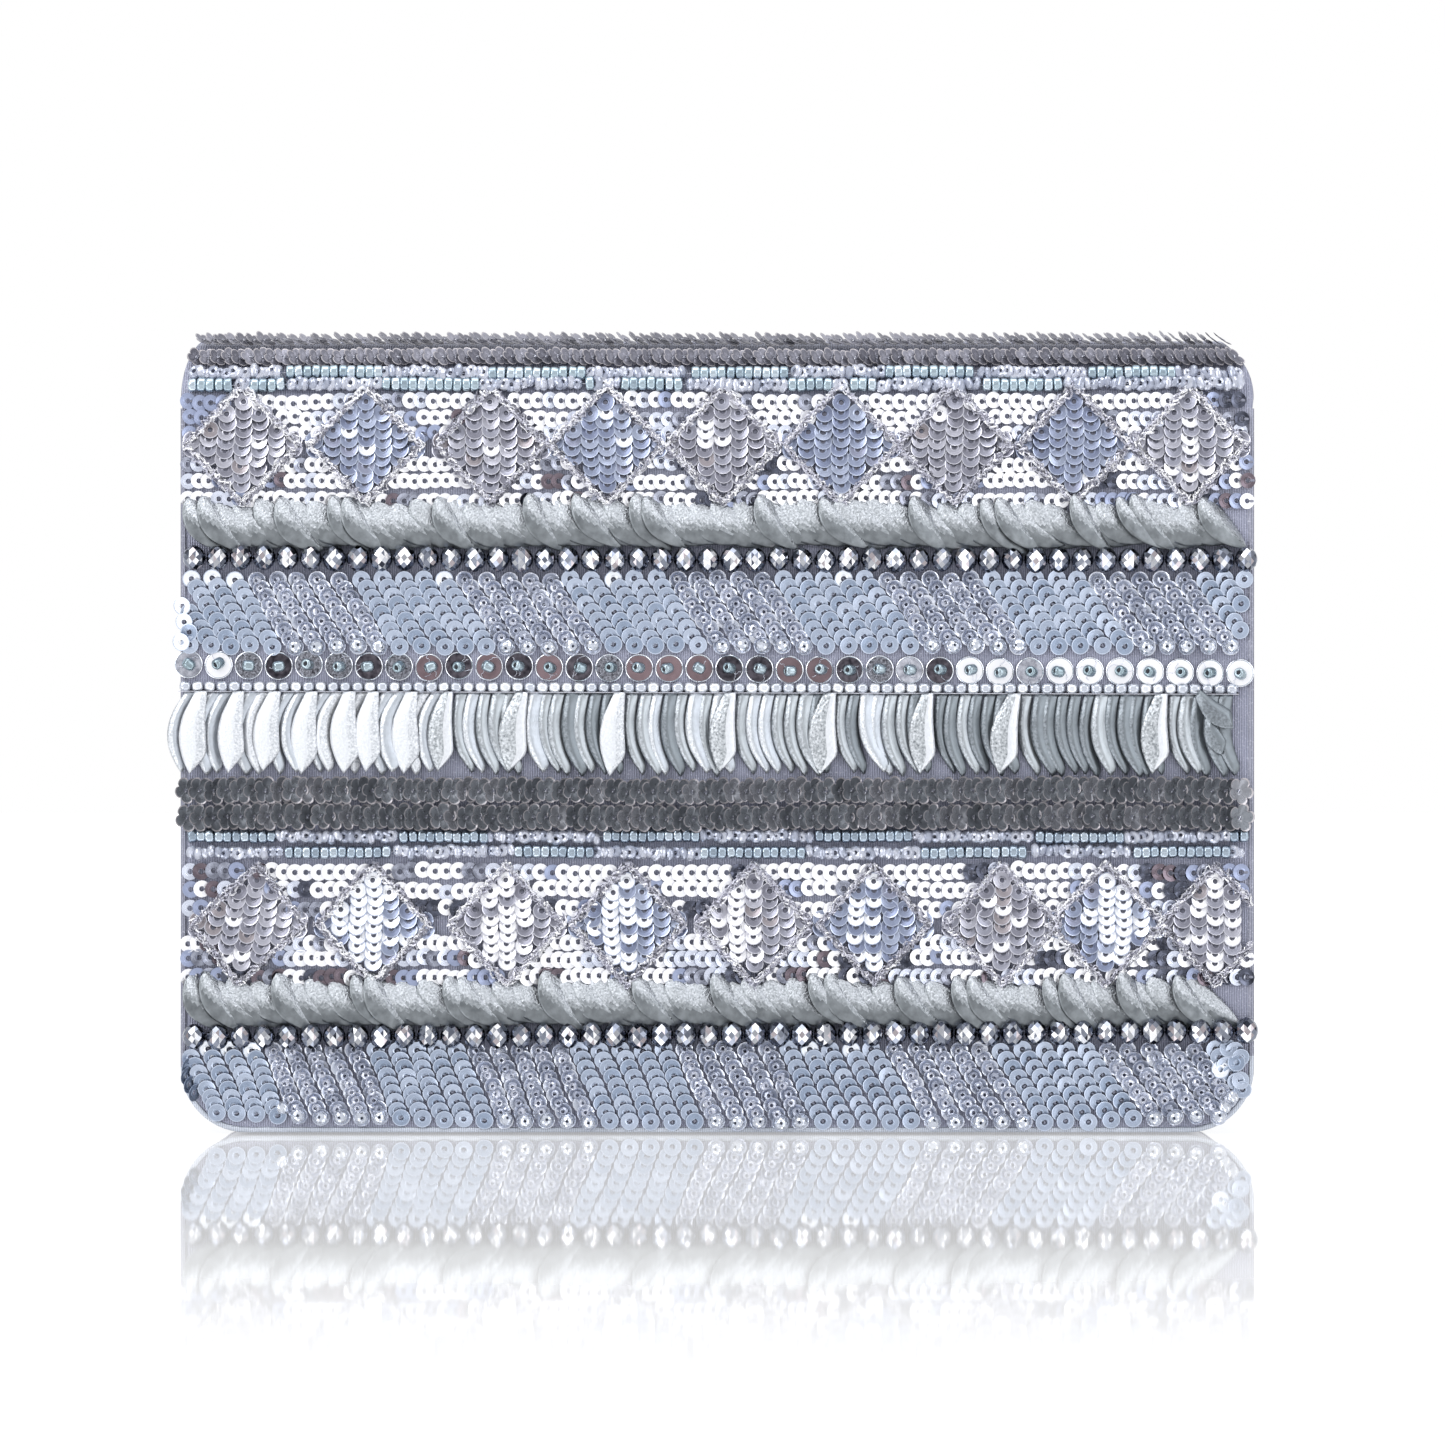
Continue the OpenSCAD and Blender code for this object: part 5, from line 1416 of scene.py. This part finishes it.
# the beads that the hanging leaves are sewn through
b_ = Build()
xs = np.arange(px(186), px(1236), 12.3 / 4.667)
n = len(xs)
zs = pz(686 + (xs - xs[0]) / (xs[-1] - xs[0]) * 3.0)
T_FB = t_bead(1.12, 2.4, 0.3, 12, 3.0, 7, 0.36)
M = turned("z", jit(n, 5)) @ turned("x", rng.uniform(0, 6, n))
b_.place(T_FB, M, np.stack([xs, zs, np.full(n, 1.15)], 1), pick(n, [3, 2]), np.ones((n, 3)) * rng.uniform(0.9, 1.04, (n, 1)))
# a dark dot below each bead, painted shade
b_.place(STITCH, turned("z", pi / 2 + jit(n, 10)), np.stack([xs + 1.25, zs - 1.0, np.full(n, 0.9)], 1), 2, np.tile([0.4, 1.5, 1.5], (n, 1)))
tube(b_, [(x, float(np.interp(x, xs, zs)) - 1.1, 1.15) for x in np.linspace(xs[0] - 1.5, xs[-1] + 1.5, 120)], 0.11, 5, 3)
FB = [
    shader("fringe_bead_a", lin(208, 213, 224), 0.45, 0.07, 0.06, 900, 0.03, trans=0.4, spec=0.9),
    shader("fringe_bead_b", lin(234, 237, 243), 0.5, 0.09, 0.06, 900, 0.03, trans=0.3, spec=0.9),
]
finish_piece(b_.mesh("fringe_bead_row", FB + [PAINTED_SHADE, THREAD], skin, True), "flap", ["fringe_beads"])

# the hanging leaves, most of them turned edge-on
BROAD = curve_leaf(
    17.6,
    [(0, -1.1), (0.15, -2.4), (0.3, -3.7), (0.5, -4.4), (0.66, -4.3), (0.86, -3.4), (1.0, -2.2)],
    [(0, 1.4), (0.2, 1.2), (0.37, 1.1), (0.77, 1.5), (1.0, -2.0)],
    0.66, (0.8, 1.5, 1.0),
)


def blade(left, width):
    """A leaf turned nearly edge-on, from its left edge: it sways out and comes back to the tip."""
    u = np.array([0, 0.1, 0.22, 0.35, 0.48, 0.6, 0.72, 0.82, 0.91, 0.96, 1.0])
    w = width * np.array([0.8, 0.82, 0.9, 0.97, 1.0, 1.0, 0.98, 0.92, 0.74, 0.5, 0.14])
    return curve_leaf(17.7, list(zip(u, left)), list(zip(u, np.array(left) + w)), 0.4, (1.0, 1.65, 0.5))


J = [-0.8, -1.2, -1.6, -1.9, -1.85, -1.5, -0.8, 0.1, 1.2, 1.8, 2.3]
SWEPT = [-0.8, -1.9, -3.1, -4.0, -4.4, -4.4, -4.0, -3.3, -2.5, -2.0, -1.5]
HALF, EDGE = blade(J, 3.6), blade(J, 3.1)
HALF_SWEPT, EDGE_SWEPT = blade(SWEPT, 3.8), blade(SWEPT, 3.3)
b_ = Build()
keep = xs < px(1226)
lx, lz = xs[keep], zs[keep]
n = len(lx)
zone = np.where(lx < px(440), 0, np.where(lx < px(900), 1, 2))
kind = pick(n, [0, 32, 68])  # 0 broad, 1 half turned, 2 edge-on
k = 1
while k < n:
    kind[k] = 0
    k += int(rng.choice([3, 3, 3, 2]) if zone[k] == 0 else rng.integers(6, 13))
shine = np.where(zone == 0, 2, np.where(kind == 0, 2, np.where(zone == 1, pick(n, [3, 0, 1]) * 1, 4)))
# painted light and shade: broad leaves and those on the left take the lighter and lit materials, those further right
# the dim ones, as the light falls from the left
mi = np.zeros(n, int)
for k in range(n):
    if kind[k] == 0:
        mi[k] = 2 if zone[k] == 0 else (8 if rng.uniform() < 0.8 else 2)
    elif zone[k] == 0:
        mi[k] = 6 if rng.uniform() < 0.7 else 2
    elif zone[k] == 1:
        mi[k] = [0, 6, 4][int(pick(1, [6, 1.4, 2.6])[0])]
    else:
        mi[k] = [0, 4, 6][int(pick(1, [3, 6.5, 0.0])[0])]
Ms = turned("z", np.radians(rng.normal(0, 1.3, n))) @ turned("x", jit(n, 1.2))
Os = np.stack([lx + 0.2 + rng.normal(0, 0.1, n), lz - 1.1, 0.35 + 0.12 * rng.uniform(0, 1, n)], 1)
Ss = np.stack([rng.uniform(0.95, 1.07, n), rng.uniform(0.965, 1.02, n), rng.uniform(0.9, 1.1, n)], 1)
swept = lx < px(440)
for kd, side_, T in ((0, None, BROAD), (1, False, HALF), (2, False, EDGE), (1, True, HALF_SWEPT), (2, True, EDGE_SWEPT)):
    w_ = (kind == kd) & ((swept == side_) if side_ is not None else True)
    lift = (1.1, 0.2, 0.0)[kd]
    b_.place(T, Ms[w_], Os[w_] + [0.5, 0, lift], mi[w_], Ss[w_])
# two at the right-hand end have slipped sideways; both take the dim material, painted shade
b_.place(BROAD, turned("z", [0.95, 0.5]) @ turned("y", [0.2, -0.1]), [[px(1196), pz(694), 2.4], [px(1207), pz(716), 2.0]], 4, np.array([[0.8, 0.6, 1.0], [0.7, 0.5, 1.0]]))
finish_piece(b_.mesh("hanging_leaf_row", FRINGE, skin, True), "leaf_fringe", ["fringe_leaves"])

# ---- the CAD nodes that stay ----------------------------------------------------
for node, m_ in (
    ("back_board", BOARD), ("base_board", BOARD), ("front_board", BOARD), ("flap_board", BOARD),
    ("snap_socket", METAL), ("snap_socket_plate", METAL), ("snap_stud", METAL), ("snap_stud_plate", METAL),
    ("snap_magnet", MAGNET),
):
    o = frame["nodes"][node]
    o.data.materials.clear()
    o.data.materials.append(m_)

# ---- floor, light, camera ---------------------------------------------------------
scene = bpy.context.scene
fb = Build()
fb.add(np.array([[-4000, -4000, 0], [4000, -4000, 0], [4000, 4000, 0], [-4000, 4000, 0]], float), np.array([[0, 1, 2, 3]]))
fm = bpy.data.materials.new("pale_gloss_floor")
fm.use_nodes = True
nt = fm.node_tree
nt.nodes.clear()
N, L = nt.nodes.new, nt.links.new
out = N("ShaderNodeOutputMaterial")
dif = N("ShaderNodeBsdfDiffuse")
dif.inputs["Color"].default_value = (0.26, 0.262, 0.265, 1)
em = N("ShaderNodeEmission")
em.inputs["Color"].default_value = (1.0, 1.0, 1.0, 1)
add = N("ShaderNodeAddShader")
gl = N("ShaderNodeBsdfGlossy")
gl.inputs["Roughness"].default_value = 0.03
gl.inputs["Color"].default_value = (1, 1, 1, 1)
mx = N("ShaderNodeMixShader")
tc = N("ShaderNodeTexCoord")
ab = N("ShaderNodeVectorMath")
ab.operation = "LENGTH"
L(tc.outputs["Object"], ab.inputs[0])
mr = N("ShaderNodeMapRange")
mr.interpolation_type = "SMOOTHSTEP"
mr.inputs["From Min"].default_value = 0.17
mr.inputs["From Max"].default_value = 0.62
mr.inputs["To Min"].default_value = 0.6
mr.inputs["To Max"].default_value = 0.0
L(ab.outputs["Value"], mr.inputs["Value"])
far = N("ShaderNodeMapRange")
far.inputs["From Min"].default_value = 0.4
far.inputs["From Max"].default_value = 1.6
far.inputs["To Min"].default_value = 0.86
far.inputs["To Max"].default_value = 1.05
L(ab.outputs["Value"], far.inputs["Value"])
L(far.outputs["Result"], em.inputs["Strength"])
L(dif.outputs[0], add.inputs[0])
L(em.outputs[0], add.inputs[1])
L(mr.outputs["Result"], mx.inputs[0])
L(add.outputs[0], mx.inputs[1])
L(gl.outputs[0], mx.inputs[2])
L(mx.outputs[0], out.inputs["Surface"])
floor = fb.mesh("floor", [fm], metres, False)

world = bpy.data.worlds.new("studio")
scene.world = world
world.use_nodes = True
nt = world.node_tree
nt.nodes.clear()
N, L = nt.nodes.new, nt.links.new
out = N("ShaderNodeOutputWorld")
bg = N("ShaderNodeBackground")
tc = N("ShaderNodeTexCoord")
sep = N("ShaderNodeSeparateXYZ")
L(tc.outputs["Generated"], sep.inputs["Vector"])
# brightest from the camera's side and from above, dimmer all round
neg = N("ShaderNodeMath")
neg.operation = "MULTIPLY"
neg.inputs[1].default_value = -1.0
L(sep.outputs["Y"], neg.inputs[0])
front = N("ShaderNodeMapRange")
front.interpolation_type = "SMOOTHSTEP"
front.inputs["From Min"].default_value = 0.35
front.inputs["From Max"].default_value = 0.97
front.inputs["To Min"].default_value = 0.70
front.inputs["To Max"].default_value = 0.93
L(neg.outputs[0], front.inputs["Value"])
above = N("ShaderNodeMapRange")
above.interpolation_type = "SMOOTHSTEP"
above.inputs["From Min"].default_value = 0.25
above.inputs["From Max"].default_value = 1.0
above.inputs["To Min"].default_value = 0.0
above.inputs["To Max"].default_value = 0.30
L(sep.outputs["Z"], above.inputs["Value"])
behind = N("ShaderNodeMapRange")
behind.interpolation_type = "SMOOTHSTEP"
behind.inputs["From Min"].default_value = 0.1
behind.inputs["From Max"].default_value = 0.6
behind.inputs["To Min"].default_value = 0.0
behind.inputs["To Max"].default_value = 0.30
L(sep.outputs["Y"], behind.inputs["Value"])
tot = N("ShaderNodeMath")
tot.operation = "ADD"
L(front.outputs["Result"], tot.inputs[0])
L(above.outputs["Result"], tot.inputs[1])
tot2 = N("ShaderNodeMath")
tot2.operation = "ADD"
L(tot.outputs[0], tot2.inputs[0])
L(behind.outputs["Result"], tot2.inputs[1])
L(tot2.outputs[0], bg.inputs["Strength"])
bg.inputs["Color"].default_value = (0.97, 0.98, 1.0, 1)
white = N("ShaderNodeBackground")
white.inputs["Color"].default_value = (1, 1, 1, 1)
white.inputs["Strength"].default_value = 1.0
lp = N("ShaderNodeLightPath")
mx = N("ShaderNodeMixShader")
L(lp.outputs["Is Camera Ray"], mx.inputs[0])
L(bg.outputs[0], mx.inputs[1])
L(white.outputs[0], mx.inputs[2])
L(mx.outputs[0], out.inputs["Surface"])


def area(name, at, to, size, energy, color=(1, 1, 1)):
    l = bpy.data.lights.new(name, "AREA")
    l.shape = "RECTANGLE"
    l.size, l.size_y = size
    l.energy = energy
    l.color = color
    o = bpy.data.objects.new(name, l)
    scene.collection.objects.link(o)
    o.location = at
    o.rotation_mode = "QUATERNION"
    o.rotation_quaternion = (Vector(to) - Vector(at)).to_track_quat("-Z", "Y")
    return o


area("soft_left", (-0.9, -0.8, 0.75), (0, 0, 0.09), (0.7, 0.9), 7.5, (1.0, 1.0, 1.0))
area("soft_right", (0.95, -0.75, 0.55), (0, 0, 0.09), (0.6, 0.9), 3.5, (0.97, 0.98, 1.0))
area("soft_top", (0.0, -0.2, 1.1), (0, 0, 0.1), (1.0, 0.6), 5.0, (1.0, 1.0, 1.0))

cam = bpy.data.cameras.new("camera")
cam.sensor_width = 36
dist = 1.15
cam.lens = 36 * dist / 0.3096
cam.clip_start, cam.clip_end = 0.05, 50
co = bpy.data.objects.new("camera", cam)
scene.collection.objects.link(co)
co.location = (0.0011, SKF / 1000 - dist, 0.0882)
co.rotation_euler = (pi / 2, 0, 0)
scene.camera = co
scene.view_settings.view_transform = "Standard"
scene.view_settings.look = "None"
